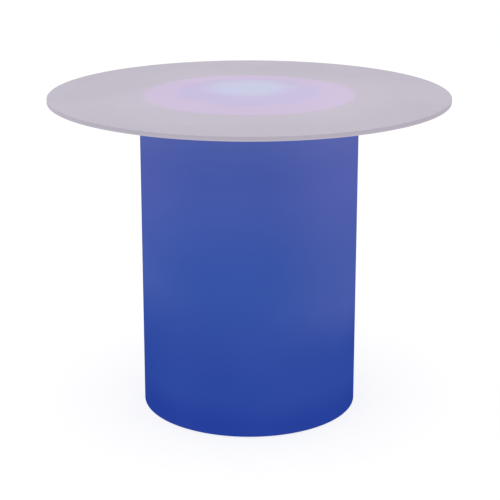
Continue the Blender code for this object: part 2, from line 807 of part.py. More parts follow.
def make_battery(materials):
    """The tray and its cells, which lie side by side along X."""
    outline = [rounded_rectangle(tray_width, tray_depth, tray_corner, height, small_segments)
               for height in (tray_level, tray_top)]
    tray = add_object("battery_tray", loft_mesh("battery_tray", outline), materials["dark"],
                      at(y=tray_place))

    lying = Matrix.Rotation(math.pi / 2, 4, "Y")
    places = [at(y=tray_place + (number - (cell_count - 1) / 2) * cell_pitch, z=cell_level) @ lying
              for number in range(cell_count)]
    half = cell_length / 2
    drill(tray, "cell_beds", cell_diameter / 2 + seat_gap, -half - seat_gap, half + seat_gap, places)

    radius = cell_diameter / 2
    edge = cell_edge_round
    shoulder = half - cell_nub_height
    nub = cell_nub_diameter / 2
    profile = [(radius - edge, -half), (radius, edge - half), (radius, shoulder - edge),
               (radius - edge, shoulder), (nub, shoulder), (nub, half)]
    cell = loft_mesh("battery_cell", turned(profile, screw_segments))
    add_copies("battery_cell", cell, materials["cell"], places)


def make_light_board(materials):
    """The round light board, its packages, its screws and the remote control's receiver."""
    board = add_object("light_board", loft_mesh("light_board", turned(
        [(light_board_radius, light_board_level), (light_board_radius, light_board_top)],
        lamp_segments)), materials["light_board"])
    corner = package_size / math.sqrt(2)
    package = turned([(corner, light_board_level + light_board_thickness / 2),
                      (corner, light_board_top + package_height)], package_sides)
    places = around(outer_ring_share * light_board_radius, outer_package_count)
    places += around(inner_ring_share * light_board_radius, inner_package_count)
    places = [place @ Matrix.Rotation(math.pi / 4, 4, "Z") for place in places]
    combine(board, "UNION", "packages", loft_mesh("packages", package, places=places))
    socket_front = board_rear - socket_inset + lead_spacing
    combine(board, "UNION", "socket", socket_mesh(light_board_level, -socket_height),
            at(socket_place, socket_front + socket_depth / 2))
    seats = around(boss_circle, boss_count)
    drill(board, "screw_holes", board_screw["shank"] / 2 + seat_gap, light_board_level - cut_overrun,
          light_board_top + cut_overrun, seats)
    screw = round_headed_mesh("light_board_screw", board_screw)
    seat = light_board_top + seat_gap
    add_copies("light_board_screw", screw, materials["steel"], [place @ at(z=seat) for place in seats])

    half = receiver_diameter / 2
    profile = [(half, seat)] + arc((0, seat + receiver_height - half), (half, half), 0, 1)
    profile[-1] = (0, seat + receiver_height)
    receiver = loft_mesh("remote_receiver", turned(profile, screw_segments))
    add_object("remote_receiver", receiver, materials["dark"])


def make_leads(materials):
    """The leads from the control board to the light board and to the battery."""
    start = board_rear - socket_inset
    height = board_top + socket_height / 2
    first = Vector((socket_place, start + seat_gap, height))
    last = Vector((socket_place, start + lead_spacing - seat_gap, light_board_level - socket_height / 2))
    pull = Vector((0, light_bend_share * (last.y - first.y), 0))
    points = interpolate_bezier(first, first + pull, last - pull, last, lead_steps)
    add_lead("light_lead", points, light_lead_diameter, materials["lead"])

    # over the first cell, then along the tray's web between it and the next
    web = tray_place - (cell_count - 2) / 2 * cell_pitch
    rest = tray_top + seat_gap + battery_lead_diameter / 2
    first = Vector((-socket_place, start + seat_gap, height))
    last = Vector((battery_lead_drop - socket_place, web, rest))
    leave = Vector((0, battery_bend_share * (last.y - first.y), 0))
    arrive = Vector((battery_bend_share * (last.x - first.x), 0, 0))
    points = interpolate_bezier(first, first + leave, last - arrive, last, lead_steps)
    points.append(Vector((cell_length / 2 - battery_lead_tail, web, rest)))
    add_lead("battery_lead", points, battery_lead_diameter, materials["lead"])


def make_lens(materials):
    """The dome: a spigot inside the pan's rim, a flange on it, and an elliptical shell."""
    seat = housing_rim + seat_gap
    shoulder = seat + lens_flange_thickness
    spigot = housing_inner - seat_gap
    bore = spigot - lens_thickness
    low = housing_rim - spigot_depth
    dome = housing_outer - lens_shoulder
    inside = arc((0, shoulder), (bore, lens_height - lens_thickness), 1, 0, dome_steps)
    outside = arc((0, shoulder), (dome, lens_height), 0, 1, dome_steps)
    inside[0] = (0, shoulder + lens_height - lens_thickness)
    outside[-1] = (0, shoulder + lens_height)
    profile = inside + [(bore, low), (spigot, low), (spigot, seat), (housing_outer, seat),
                        (housing_outer, shoulder)] + outside
    add_object("lamp_lens", loft_mesh("lamp_lens", turned(profile, lamp_segments)),
               materials["diffuser"])


def main():
    clear_scene()
    materials = make_materials()
    make_top(materials)
    make_column(materials)
    make_base(materials)
    make_glides(materials)
    make_housing(materials)
    make_cup(materials)
    make_button(materials)
    make_inlet(materials)
    make_control_board(materials)
    make_battery(materials)
    make_light_board(materials)
    make_leads(materials)
    make_lens(materials)


main()
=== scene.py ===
import math

import bmesh
import bpy
from mathutils import Matrix, Vector
from mathutils.geometry import interpolate_bezier


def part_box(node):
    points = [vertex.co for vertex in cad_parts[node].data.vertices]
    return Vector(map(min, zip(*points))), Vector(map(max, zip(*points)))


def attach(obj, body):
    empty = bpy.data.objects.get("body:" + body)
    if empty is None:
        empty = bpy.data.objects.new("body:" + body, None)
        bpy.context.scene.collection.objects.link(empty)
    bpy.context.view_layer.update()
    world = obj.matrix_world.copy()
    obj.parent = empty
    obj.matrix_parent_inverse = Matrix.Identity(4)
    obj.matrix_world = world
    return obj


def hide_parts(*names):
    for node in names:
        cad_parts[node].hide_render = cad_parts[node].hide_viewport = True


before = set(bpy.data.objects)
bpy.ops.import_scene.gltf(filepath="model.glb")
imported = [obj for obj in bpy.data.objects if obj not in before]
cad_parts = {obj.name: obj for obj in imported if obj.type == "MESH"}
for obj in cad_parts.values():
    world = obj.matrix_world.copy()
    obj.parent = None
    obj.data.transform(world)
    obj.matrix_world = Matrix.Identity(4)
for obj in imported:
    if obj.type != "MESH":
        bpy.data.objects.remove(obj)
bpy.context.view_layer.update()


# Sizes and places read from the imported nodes
def lowest(node):
    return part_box(node)[0]


def highest(node):
    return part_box(node)[1]


def middle(node):
    return (lowest(node) + highest(node)) / 2


def span(node):
    return highest(node) - lowest(node)


def levels(node):
    return lowest(node).z, highest(node).z


def numbered(stem):
    # nodes called by this stem and a number
    return sorted(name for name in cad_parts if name.rpartition("_")[0] == stem)


def at(x=0.0, y=0.0, z=0.0):
    return Matrix.Translation((x, y, z))


def turnedBy(angle, axis="Z"):
    return Matrix.Rotation(angle, 4, axis)


def standing(node):
    # on the node's own upright axis, not turned
    return at(*middle(node).xy)


def uprightAt(node, height):
    # a place on a node's own upright axis, turned to face away from the table's
    spot = middle(node)
    return at(spot.x, spot.y, height) @ turnedBy(math.atan2(spot.y, spot.x))


def axesOf(stem):
    # the upright axes of a stem's numbered nodes
    return [uprightAt(node, 0) for node in numbered(stem)]


def picked(look, keys):
    # several of a piece's values at once
    return [look[key] for key in keys.split()]


# Rings of points
quarterTurn = math.pi / 2
headings = ((1, 0), (0, 1), (-1, 0), (0, -1))      # out, up, in and down
smallFacets = 24                                   # sides of small round details


def sweep(start, end, steps):
    # even angles from start to end, which are quarter turns
    return [quarterTurn * (start + (end - start) * step / steps) for step in range(steps + 1)]


def polar(radius, angle, height=0.0):
    return Vector((radius * math.cos(angle), radius * math.sin(angle), height))


def ringAt(radius, height, count):
    if radius == 0:
        return [Vector((0, 0, height))]
    return [polar(radius, math.tau * i / count, height) for i in range(count)]


def hexagonAt(acrossFlats, height, count):
    side = math.pi / 3
    points = []
    for i in range(count):
        angle = math.tau * i / count
        fromFlat = (angle + side / 2) % side - side / 2
        points.append(polar(acrossFlats / 2 / math.cos(fromFlat), angle, height))
    return points


def panelAt(width, depth, corner, height, steps=10):
    # a level rectangle with round corners
    points = []
    for quarter, (sideX, sideY) in enumerate(((1, 1), (-1, 1), (-1, -1), (1, -1))):
        centre = Vector((sideX * (width / 2 - corner), sideY * (depth / 2 - corner), height))
        points += [centre + polar(corner, angle) for angle in sweep(quarter, quarter + 1, steps)]
    return points


def tabAt(radius, reach, height, steps=12):
    # a round end about the origin, with straight sides that run to reach
    points = [Vector((reach, -radius, height)), Vector((reach, radius, height))]
    return points + [polar(radius, angle, height) for angle in sweep(1, 3, steps)]


def turned(profile, count):
    return [ringAt(radius, height, count) for radius, height in profile]


def threadRings(radius, low, high, pitch, count, perTurn=8):
    # a right-handed thread as rings of waving radius, which fades out over one turn at each end
    depth = 0.55 * pitch
    crest, flank = 0.15, 0.65                      # widths, as shares of half the pitch
    rings = []
    steps = round((high - low) / pitch * perTurn)
    for step in range(steps + 1):
        height = low + (high - low) * step / steps
        fade = min(1.0, (height - low) / pitch, (high - height) / pitch)
        points = ringAt(radius, height, count)
        for i, point in enumerate(points):
            away = abs(2 * ((height / pitch - i / count) % 1) - 1)
            groove = depth * fade * min(1.0, max(0.0, (away - crest) / flank))
            point.xy *= 1 - groove / radius
        rings.append(points)
    return rings


# Sections to turn, as pairs of a radius and a height
def arc(centre, across, up, start, end, steps):
    # start and end are quarter turns from the outward side
    return [(centre[0] + across * math.cos(angle), centre[1] + up * math.sin(angle))
            for angle in sweep(start, end, steps)]


def rounded(*corners):
    # a corner between a level and an upright line is round where radius and steps follow its place
    ways = [round(math.atan2(end[1] - start[1], end[0] - start[0]) / quarterTurn) % 4
            for start, end in zip(corners, corners[1:] + corners[:1])]
    pairs = []
    for i, (x, y, *rounding) in enumerate(corners):
        if not rounding:
            pairs.append((x, y))
            continue
        edge, steps = rounding
        arrive, leave = ways[i - 1], ways[i]
        shift = [edge * (ahead - behind) for ahead, behind in zip(headings[leave], headings[arrive])]
        start = arrive - 1 if (leave - arrive) % 4 == 1 else arrive + 1
        pairs += arc((x + shift[0], y + shift[1]), edge, edge, start, arrive, steps)
    return pairs


def ringSection(inner, outer, low, high, edge, steps=3):
    corners = ((inner, low), (outer, low), (outer, high), (inner, high))
    return rounded(*((radius, height, edge, steps) for radius, height in corners))


# Meshes: skins between rings, and what is cut out of them
creaseAngle = math.radians(35)
sliverWidth = 0.000002
pastFace = 0.001                # how far a cutter sticks out of what it cuts


def skin(bm, rings, closed=False, place=Matrix(), finish=0):
    # walls between neighbouring rings, with a cap on each open end
    loops = [[bm.verts.new(place @ point) for point in points] for points in rings]
    faces = []
    for first, second in zip(loops, loops[1:] + loops[:1] if closed else loops[1:]):
        count = max(len(first), len(second))
        for i in range(count):
            j = (i + 1) % count
            corners = [first[i % len(first)], first[j % len(first)],
                       second[j % len(second)], second[i % len(second)]]
            faces.append(bm.faces.new(list(dict.fromkeys(corners))))
    if not closed:
        faces += [bm.faces.new(loop) for loop in (loops[0], loops[-1]) if len(loop) > 1]
    for face in faces:
        face.material_index = finish


def block(bm, width, depth, low, high, edge, place=Matrix(), finish=0):
    # a box with round upright edges and a softened upper rim
    rings = [panelAt(width, depth, edge, low, 3), panelAt(width, depth, edge, high - edge, 3),
             panelAt(width - edge, depth - edge, edge, high, 3)]
    skin(bm, rings, False, place, finish)


def shaded(mesh):
    # smooth but for the creases
    mesh.shade_smooth()
    mesh.set_sharp_from_angle(angle=creaseAngle)
    return mesh


def finished(bm, name):
    bmesh.ops.recalc_face_normals(bm, faces=bm.faces)
    mesh = bpy.data.meshes.new(name)
    bm.to_mesh(mesh)
    bm.free()
    return shaded(mesh)


def skinMesh(name, rings, closed=False, places=(Matrix(),)):
    bm = bmesh.new()
    for place in places:
        skin(bm, rings, closed, place)
    return finished(bm, name)


def turnedMesh(name, profile, count, closed=False, places=(Matrix(),)):
    return skinMesh(name, turned(profile, count), closed, places)


def panelMesh(name, width, depth, corner, rims, place):
    # a rectangle skinned from rim to rim; a rim says how far it is grown there, and the height
    rings = [panelAt(width + 2 * grow, depth + 2 * grow, corner + grow, height) for grow, height in rims]
    return skinMesh(name, rings, places=[place])


def ringMesh(name, node, inner, look, steps=3):
    section = ringSection(inner, highest(node).x, *levels(node), look["edgeRound"], steps)
    return turnedMesh(name, section, look["facets"], closed=True)


def placed(name, data):
    item = bpy.data.objects.new(name, data)
    bpy.context.scene.collection.objects.link(item)
    return item


def carve(mesh, tool, operation="DIFFERENCE"):
    # the tool's shape is cut out of the mesh, or joined to it
    target, helper = placed("carved", mesh), placed("tool", tool)
    modifier = target.modifiers.new("carve", "BOOLEAN")
    modifier.operation = operation
    modifier.solver = "EXACT"
    modifier.object = helper
    bm = bmesh.new()
    bm.from_object(target, bpy.context.evaluated_depsgraph_get())
    for item in (target, helper):
        bpy.data.objects.remove(item)
    bmesh.ops.dissolve_degenerate(bm, dist=sliverWidth, edges=bm.edges)   # slivers beside the cuts
    bm.to_mesh(mesh)
    bm.free()
    shaded(mesh)


def bore(mesh, radius, low, high, places, count=32, chamfer=0.0002):
    # round holes right through, with a small chamfer at each mouth
    wide = radius + chamfer
    profile = [(wide, low - pastFace), (wide, low), (radius, low + chamfer), (radius, high - chamfer),
               (wide, high), (wide, high + pastFace)]
    carve(mesh, turnedMesh("bore", profile, count, places=places))


def pocket(mesh, radius, low, high, places):
    # round holes from the top down to a cone's point
    profile = [(0, low - radius / 2), (radius, low), (radius, high + pastFace)]
    carve(mesh, turnedMesh("pocket", profile, smallFacets, places=places))


def countersink(mesh, screw, low, high, places):
    # holes for screws whose heads lie flush with the lower face
    clear = screw["clearance"]
    head, shank, neck = (size + clear for size in picked(screw, "head shank headHeight"))
    profile = [(head, low - pastFace), (head, low + clear), (shank, low + neck), (shank, high + pastFace)]
    carve(mesh, turnedMesh("countersink", profile, screw["facets"], places=places))


def addPiece(name, mesh, finishes, node, place=Matrix(), body="column"):
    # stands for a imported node; the finishes are named in the order of their numbers in the mesh
    piece = placed(name, mesh)
    if not mesh.materials:
        for finish in finishes.split():
            mesh.materials.append(bpy.data.materials[finish])
    piece.matrix_world = place
    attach(piece, body)
    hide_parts(node)


def addCopies(stem, mesh, finishes, source, lift=0.0, body="column"):
    # pieces that share one mesh, each upright on a numbered node of its own
    for number, node in enumerate(numbered(source), 1):
        place = uprightAt(node, lowest(node).z + lift)
        addPiece(f"{stem}_{number}", mesh, finishes, node, place, body.format(number))


# Short calls for the material nodes
def paint(red, green, blue):
    # display numbers from 0 to 255 as the colour that the shader wants
    def level(number):
        share = number / 255
        return share / 12.92 if share <= 0.04045 else ((share + 0.055) / 1.055) ** 2.4
    return (level(red), level(green), level(blue), 1.0)


def feed(tree, socket, value):
    if isinstance(value, bpy.types.NodeSocket):
        tree.links.new(value, socket)
    else:
        socket.default_value = value


def addNode(tree, kind, inputs, **settings):
    node = tree.nodes.new("ShaderNode" + kind)
    for name, value in settings.items():
        setattr(node, name, value)
    for name, value in inputs.items():
        feed(tree, node.inputs[name], value)
    return node


def figured(tree, operation, *values):
    return addNode(tree, "Math", dict(enumerate(values)), operation=operation).outputs[0]


def mixed(tree, share, first, second, blend="MIX"):
    sockets = {0: share, 6: first, 7: second}
    return addNode(tree, "Mix", sockets, data_type="RGBA", blend_type=blend).outputs[2]


def remapped(tree, value, fromLow, fromHigh, toLow=0.0, toHigh=1.0, kind="SMOOTHSTEP"):
    sockets = {0: value, 1: fromLow, 2: fromHigh, 3: toLow, 4: toHigh}
    return addNode(tree, "MapRange", sockets, interpolation_type=kind).outputs[0]


noiseRange = (0.3, 0.7)         # most of a speckle's values lie between these


def speckle(tree, place, scale, detail=2.0):
    return addNode(tree, "TexNoise", {"Vector": place, "Scale": scale, "Detail": detail}).outputs[0]


def latheRings(tree, place, scale):
    # fine rings about the piece's own axis, as a lathe or a mould cut on one leaves them
    sockets = {"Vector": place, "Scale": scale, "Distortion": 0.6, "Detail": 1.0}
    return addNode(tree, "TexWave", sockets, wave_type="RINGS", rings_direction="Z").outputs["Fac"]


def along(tree, place, axis):
    return addNode(tree, "SeparateXYZ", {0: place}).outputs[axis]


def awayFrom(tree, place, centre=(0, 0, 0)):
    # distance from an upright axis
    flat = addNode(tree, "VectorMath", {0: place, 1: (1, 1, 0)}, operation="MULTIPLY").outputs[0]
    return addNode(tree, "VectorMath", {0: flat, 1: centre}, operation="DISTANCE").outputs["Value"]


def addRamp(tree, share, stops, kind="EASE"):
    ramp = addNode(tree, "ValToRGB", {0: share})
    marks = ramp.color_ramp.elements
    while len(marks) < len(stops):
        marks.new(1.0)
    for mark, (position, colour) in zip(marks, stops):
        mark.position = position
        mark.color = paint(*colour)
    ramp.color_ramp.interpolation = kind
    return ramp.outputs[0]


def emboss(tree, shader, height, strength, distance):
    bump = addNode(tree, "Bump", {"Height": height, "Strength": strength, "Distance": distance})
    feed(tree, shader.inputs["Normal"], bump.outputs[0])


def glow(tree, shader, light, strength=1.0):
    feed(tree, shader.inputs["Emission Color"], light)
    shader.inputs["Emission Strength"].default_value = strength


def makeFinish(name, colours, patch, rough, detail=3.0, spread=(0.35, 0.65), wander=None, grain=None,
               relief=0.1, depth=0.0001, lathe=None, metallic=0.0, specular=0.5, through=0.0,
               refraction=1.5):
    # two near colours in soft patches, a roughness that wanders between two values, and a grain in the
    # surface; patch, wander, grain and lathe are scales
    material = bpy.data.materials.new(name)
    material.use_nodes = True
    tree = material.node_tree
    shader = tree.nodes["Principled BSDF"]
    for socket, value in (("Metallic", metallic), ("Specular IOR Level", specular), ("IOR", refraction),
                          ("Transmission Weight", through)):
        shader.inputs[socket].default_value = value
    place = tree.nodes.new("ShaderNodeTexCoord").outputs["Object"]
    share = remapped(tree, speckle(tree, place, patch, detail), *spread)
    first, second = colours
    feed(tree, shader.inputs["Base Color"], mixed(tree, share, paint(*first), paint(*second)))
    share = speckle(tree, place, wander or 4 * patch)
    feed(tree, shader.inputs["Roughness"], remapped(tree, share, *noiseRange, *rough))
    if grain:
        height = speckle(tree, place, grain)
        if lathe:
            height = figured(tree, "ADD", height, latheRings(tree, place, lathe))
        emboss(tree, shader, height, relief, depth)
    return tree, shader, place


# Finishes without light or pattern of their own
plainFinishes = {
    "clearAcrylic": dict(colours=((236, 239, 243), (242, 244, 247)), patch=30.0, detail=2.0, wander=90.0,
                         rough=(0.03, 0.09), grain=260.0, relief=0.04, depth=0.0002, through=0.9,
                         refraction=1.49),
    "powderCoat": dict(colours=((168, 168, 172), (176, 176, 180)), patch=9.0, rough=(0.52, 0.64),
                       grain=900.0, relief=0.35, depth=0.0003, specular=0.4),
    "zincPlate": dict(colours=((186, 189, 194), (204, 206, 210)), patch=160.0, rough=(0.24, 0.38),
                      grain=2200.0, metallic=1.0, lathe=380.0),
    "turnedBrass": dict(colours=((196, 166, 104), (212, 184, 122)), patch=120.0, rough=(0.22, 0.36),
                        grain=1800.0, relief=0.12, metallic=1.0, lathe=420.0),
    "nickel": dict(colours=((196, 194, 188), (210, 208, 202)), patch=200.0, rough=(0.20, 0.34),
                   grain=2500.0, relief=0.08, metallic=1.0),
    "blackNylon": dict(colours=((38, 38, 40), (46, 46, 49)), patch=60.0, rough=(0.50, 0.62),
                       grain=1600.0, relief=0.22, depth=0.0002, lathe=300.0),
    "whiteMoulding": dict(colours=((220, 220, 217), (226, 226, 224)), patch=24.0, rough=(0.46, 0.58),
                          grain=2600.0, relief=0.25, depth=0.0002),
    "greyRubber": dict(colours=((84, 84, 88), (94, 94, 98)), patch=70.0, rough=(0.72, 0.84),
                       grain=3000.0, relief=0.25, depth=0.0002, specular=0.3),
    "darkMoulding": dict(colours=((34, 34, 36), (41, 41, 44)), patch=80.0, rough=(0.40, 0.52),
                         grain=2400.0, relief=0.20, depth=0.0002),
    "chipBlack": dict(colours=((26, 27, 29), (32, 33, 35)), patch=300.0, rough=(0.44, 0.54),
                      grain=5000.0, relief=0.12),
    "ivoryPlug": dict(colours=((224, 218, 200), (231, 226, 210)), patch=200.0, rough=(0.40, 0.50),
                      grain=3000.0),
    "tinnedPad": dict(colours=((196, 197, 196), (214, 214, 212)), patch=900.0, rough=(0.24, 0.40),
                      grain=3000.0, relief=0.18, metallic=1.0),
    "cellSleeve": dict(colours=((60, 104, 156), (66, 111, 164)), patch=40.0, rough=(0.22, 0.32),
                       grain=700.0, relief=0.12, depth=0.0002),
    "paperRing": dict(colours=((232, 232, 226), (240, 240, 235)), patch=400.0, rough=(0.70, 0.80),
                      grain=4000.0, relief=0.15),
    "redInsulation": dict(colours=((158, 42, 34), (168, 50, 40)), patch=300.0, rough=(0.34, 0.44),
                          grain=2600.0),
    "blackInsulation": dict(colours=((30, 30, 32), (38, 38, 40)), patch=300.0, rough=(0.34, 0.44),
                            grain=2600.0),
    "darkFilter": dict(colours=((30, 20, 32), (38, 26, 40)), patch=400.0, rough=(0.08, 0.16),
                       grain=3000.0, relief=0.04),
}
for finishName, finishLook in plainFinishes.items():
    makeFinish(finishName, **finishLook)

# Satin frosted top, with the column's light showing through it painted on as discs, over a painted glow
# across the whole sheet
frostedTop = {
    "facets": 240,
    "edgeRound": 0.0012,
    "edgeSteps": 4,
    "spreadShares": (0.22, 0.42, 0.62, 0.82),   # of the radius: rings that keep the faces even
    "edgeBand": 0.004,                          # flat band beside the rounded edge
    "finish": dict(colours=((174, 168, 180), (179, 172, 184)), patch=3.5, wander=60.0, rough=(0.46, 0.54),
                   grain=1500.0, relief=0.05, depth=0.0002, specular=0.06),
    # painted light that the whole sheet gives off, from its underside up, lightest at the underside and the
    # rim's lower edge and darkest across the rim's middle: share of the thickness and colour
    "paintedSheetGlow": ((0.0, (112, 108, 118)), (0.30, (92, 89, 97)), (0.80, (82, 79, 86)), (1.0, (87, 85, 91))),
    # discs of light, each over the one before: colour, place behind the middle, radius, soft edge's width
    "discs": (
        ((97, 92, 101), -0.060, 0.310, 0.180),      # light that spreads in the sheet round the column
        ((118, 97, 134), -0.008, 0.240, 0.024),     # over the column's wall and flange
        ((103, 91, 138), 0.020, 0.168, 0.056),      # over the flange's hole
        ((110, 121, 152), 0.066, 0.092, 0.085),     # where the far inside of the column shines up
    ),
}


def makeFrostedTop():
    look = frostedTop
    low, high = levels("table_top")
    tree, shader, place = makeFinish("frostedAcrylic", **look["finish"])
    share = remapped(tree, along(tree, place, "Z"), low, high, kind="LINEAR")
    # painted glow over the sheet by height, with the discs of painted light laid over it
    light = addRamp(tree, share, look["paintedSheetGlow"], "LINEAR")
    for colour, behind, radius, soft in look["discs"]:
        away = awayFrom(tree, place, (0, behind, 0))
        inside = remapped(tree, away, radius + soft / 2, radius - soft / 2)
        light = mixed(tree, inside, light, paint(*colour))
    glow(tree, shader, light)

    outer, edge = highest("table_top").x, look["edgeRound"]
    rounding = (edge, look["edgeSteps"])
    spread = [share * outer for share in look["spreadShares"]] + [outer - edge - look["edgeBand"]]
    profile = rounded((0, low), *((radius, low) for radius in spread), (outer, low, *rounding),
                      (outer, high, *rounding), *((radius, high) for radius in reversed(spread)), (0, high))
    mesh = turnedMesh("frosted_top", profile, look["facets"])
    addPiece("frosted_top", mesh, "frostedAcrylic", "table_top", body="top")


# Clear ring bonded under the top, which drops into the column's flange
centringRing = {"facets": 192, "wall": 0.006, "leadIn": 0.0015, "edgeRound": 0.0004}


def makeCentringRing():
    look = centringRing
    low, high = levels("locating_ring")
    outer, edge = highest("locating_ring").x, look["edgeRound"]
    inner = outer - look["wall"]
    profile = rounded((inner, low, edge, 3), (outer, low, look["leadIn"], 4), (outer, high, edge, 3),
                      (inner, high, edge, 3))
    mesh = turnedMesh("centring_ring", profile, look["facets"], closed=True)
    addPiece("centring_ring", mesh, "clearAcrylic", "locating_ring", body="top")


# Opal tube, lit blue from inside
opalColumn = {
    "facets": 192,
    "wall": 0.006,
    "edgeRound": 0.0008,
    "edgeSteps": 3,
    "edgeBand": 0.004,
    "bands": 12,
    "surface": dict(patch=4.0, detail=2.0, wander=50.0, rough=(0.54, 0.64), grain=1200.0, relief=0.05,
                    depth=0.0002, specular=0.0),
    "outside": ((36, 52, 124), (40, 56, 128)),
    "inside": ((84, 98, 160), (90, 104, 166)),
    # light given off, from the foot up: share of the height, and display colour
    "glow": ((0.02, (12, 40, 110)), (0.14, (27, 53, 117)), (0.5, (43, 69, 127)), (0.8, (60, 75, 131)),
             (0.99, (74, 86, 138))),
    # painted violet light added towards the two flanks (the X sides), which thins out over the lower third
    "paintedFlankLight": (48, 39, 44),
    "flankMiddle": -0.04,
    "flankReach": (0.05, 0.29),     # distance from that middle
    "flankFade": (0.25, 0.43),      # share of the height
    "fadeTilt": 0.2,
    # light on the inside wall: dark below the floor plate, bright beside the lamp
    "insideGlow": ((0.025, (26, 46, 116)), (0.045, (132, 160, 240)), (0.35, (74, 96, 206)),
                   (0.9, (56, 76, 178))),
}


# painted violet light on the column's X sides, added to its glow
def addPaintedFlankLight(tree, place, share, base):
    look = opalColumn
    across = along(tree, place, "X")
    away = figured(tree, "ABSOLUTE", figured(tree, "SUBTRACT", across, look["flankMiddle"]))
    level = figured(tree, "MULTIPLY_ADD", across, look["fadeTilt"], share)
    aside = remapped(tree, away, *look["flankReach"])
    above = remapped(tree, level, *look["flankFade"])
    flank = figured(tree, "MULTIPLY", aside, above)
    return mixed(tree, flank, base, paint(*look["paintedFlankLight"]), "ADD")


def makeColumnFinish(name, colours, light, paintedFlanks=False):
    tree, shader, place = makeFinish(name, colours, **opalColumn["surface"])
    share = remapped(tree, along(tree, place, "Z"), 0.0, highest("column_tube").z, kind="LINEAR")
    base = addRamp(tree, share, light)
    glow(tree, shader, addPaintedFlankLight(tree, place, share, base) if paintedFlanks else base)


def makeOpalColumn():
    look = opalColumn
    makeColumnFinish("litOpal", look["outside"], look["glow"], True)
    makeColumnFinish("litOpalInside", look["inside"], look["insideGlow"])
    low, high = levels("column_tube")
    outer = highest("column_tube").x
    inner = outer - look["wall"]
    edge, band, bands = picked(look, "edgeRound edgeBand bands")
    rounding = (edge, look["edgeSteps"])
    walls = [low + edge + band + (high - low - 2 * (edge + band)) * i / bands for i in range(bands + 1)]
    profile = rounded(*((inner, height) for height in reversed(walls)), (inner, low, *rounding),
                      (outer, low, *rounding), *((outer, height) for height in walls),
                      (outer, high, *rounding), (inner, high, *rounding))
    mesh = turnedMesh("opal_column", profile, look["facets"], closed=True)
    for face in mesh.polygons:
        if face.center.xy.length < inner + edge / 2:
            face.material_index = 1
    addPiece("opal_column", mesh, "litOpal litOpalInside", "column_tube")


# Opal flange bonded in the column's upper end, and the opal ring in its lower end
columnRings = {
    "facets": 192,
    "flangeWidth": 0.0727,
    "lowerWidth": 0.028,
    "edgeRound": 0.0006,
    "finish": dict(colours=((206, 202, 214), (212, 207, 219)), patch=8.0, wander=60.0, rough=(0.44, 0.54),
                   grain=1400.0, relief=0.06, depth=0.0002, specular=0.3),
    # by share of the radius
    "flangeGlow": ((0.70, (104, 98, 168)), (0.86, (92, 86, 150)), (0.98, (74, 78, 150))),
    "lowerGlow": (30, 40, 90),
}


def makeColumnRings():
    look = columnRings
    tree, shader, place = makeFinish("litFlange", **look["finish"])
    share = remapped(tree, awayFrom(tree, place), 0.0, highest("column_tube").x, kind="LINEAR")
    glow(tree, shader, addRamp(tree, share, look["flangeGlow"]))
    mesh = ringMesh("column_flange", "top_flange", highest("top_flange").x - look["flangeWidth"], look)
    addPiece("column_flange", mesh, "litFlange", "top_flange")

    tree, shader, place = makeFinish("lowerOpal", **look["finish"])
    glow(tree, shader, paint(*look["lowerGlow"]))
    mesh = ringMesh("lower_ring", "bottom_ring", highest("bottom_ring").x - look["lowerWidth"], look)
    shank = plateScrew["shank"] + plateScrew["clearance"]
    bore(mesh, shank, *levels("bottom_ring"), axesOf("base_screw"))
    addPiece("lower_ring", mesh, "lowerOpal", "bottom_ring")


# Clear domes that the top rests on
restBumper = {"facets": 48, "flatShare": 0.5, "sideShare": 0.33, "edgeRound": 0.0003, "domeSteps": 8}


def makeRestBumpers():
    look = restBumper
    size = span("top_bumper_1")
    radius, height = size.x / 2, size.z
    side, flat = look["sideShare"] * height, look["flatShare"] * radius
    dome = arc((flat, side), radius - flat, height - side, 0, 1, look["domeSteps"])
    profile = rounded((0, 0), (radius, 0, look["edgeRound"], 2), *dome, (0, height))
    mesh = turnedMesh("rest_bumper", profile, look["facets"])
    addCopies("rest_bumper", mesh, "clearAcrylic", "top_bumper")


# Countersunk screws with hexagon sockets: radii and lengths, the head's face at zero and the tip up
plateScrew = {"facets": 36, "head": 0.005, "headHeight": 0.0028, "shank": 0.0025, "length": 0.016,
              "key": 0.003, "keyDepth": 0.0018, "pitch": 0.0008, "edge": 0.0002, "clearance": 0.0003}
panScrew = {"facets": 36, "head": 0.0038, "headHeight": 0.0022, "shank": 0.002, "length": 0.012,
            "key": 0.0025, "keyDepth": 0.0014, "pitch": 0.0007, "edge": 0.0002, "clearance": 0.0003}


def makeCountersunkScrews(stem, look, source):
    count, edge, key, depth, head, neck, shank, length = picked(
        look, "facets edge key keyDepth head headHeight shank length")
    mouth, point = key / math.sqrt(3) + edge, depth + key / 6
    rings = [ringAt(0, point, count), hexagonAt(key, depth, count), hexagonAt(key, edge, count)]
    rings += turned([(mouth, 0), (head - edge, 0), (head, edge), (shank, neck)], count)
    rings += threadRings(shank, neck + edge, length - 2 * edge, look["pitch"], count)
    rings += turned([(shank - 2 * edge, length), (0, length)], count)
    addCopies(stem, skinMesh(stem, rings), "zincPlate", source)


# Round-headed screws with a cross recess, the underside of the head at zero and the tip down
boardScrew = {"facets": 24, "head": 0.0026, "headHeight": 0.0016, "shank": 0.0013, "length": 0.006,
              "pitch": 0.0009, "edge": 0.0002, "crossLength": 0.0030, "crossWidth": 0.0006,
              "crossDepth": 0.0009, "crossTaper": 0.45}


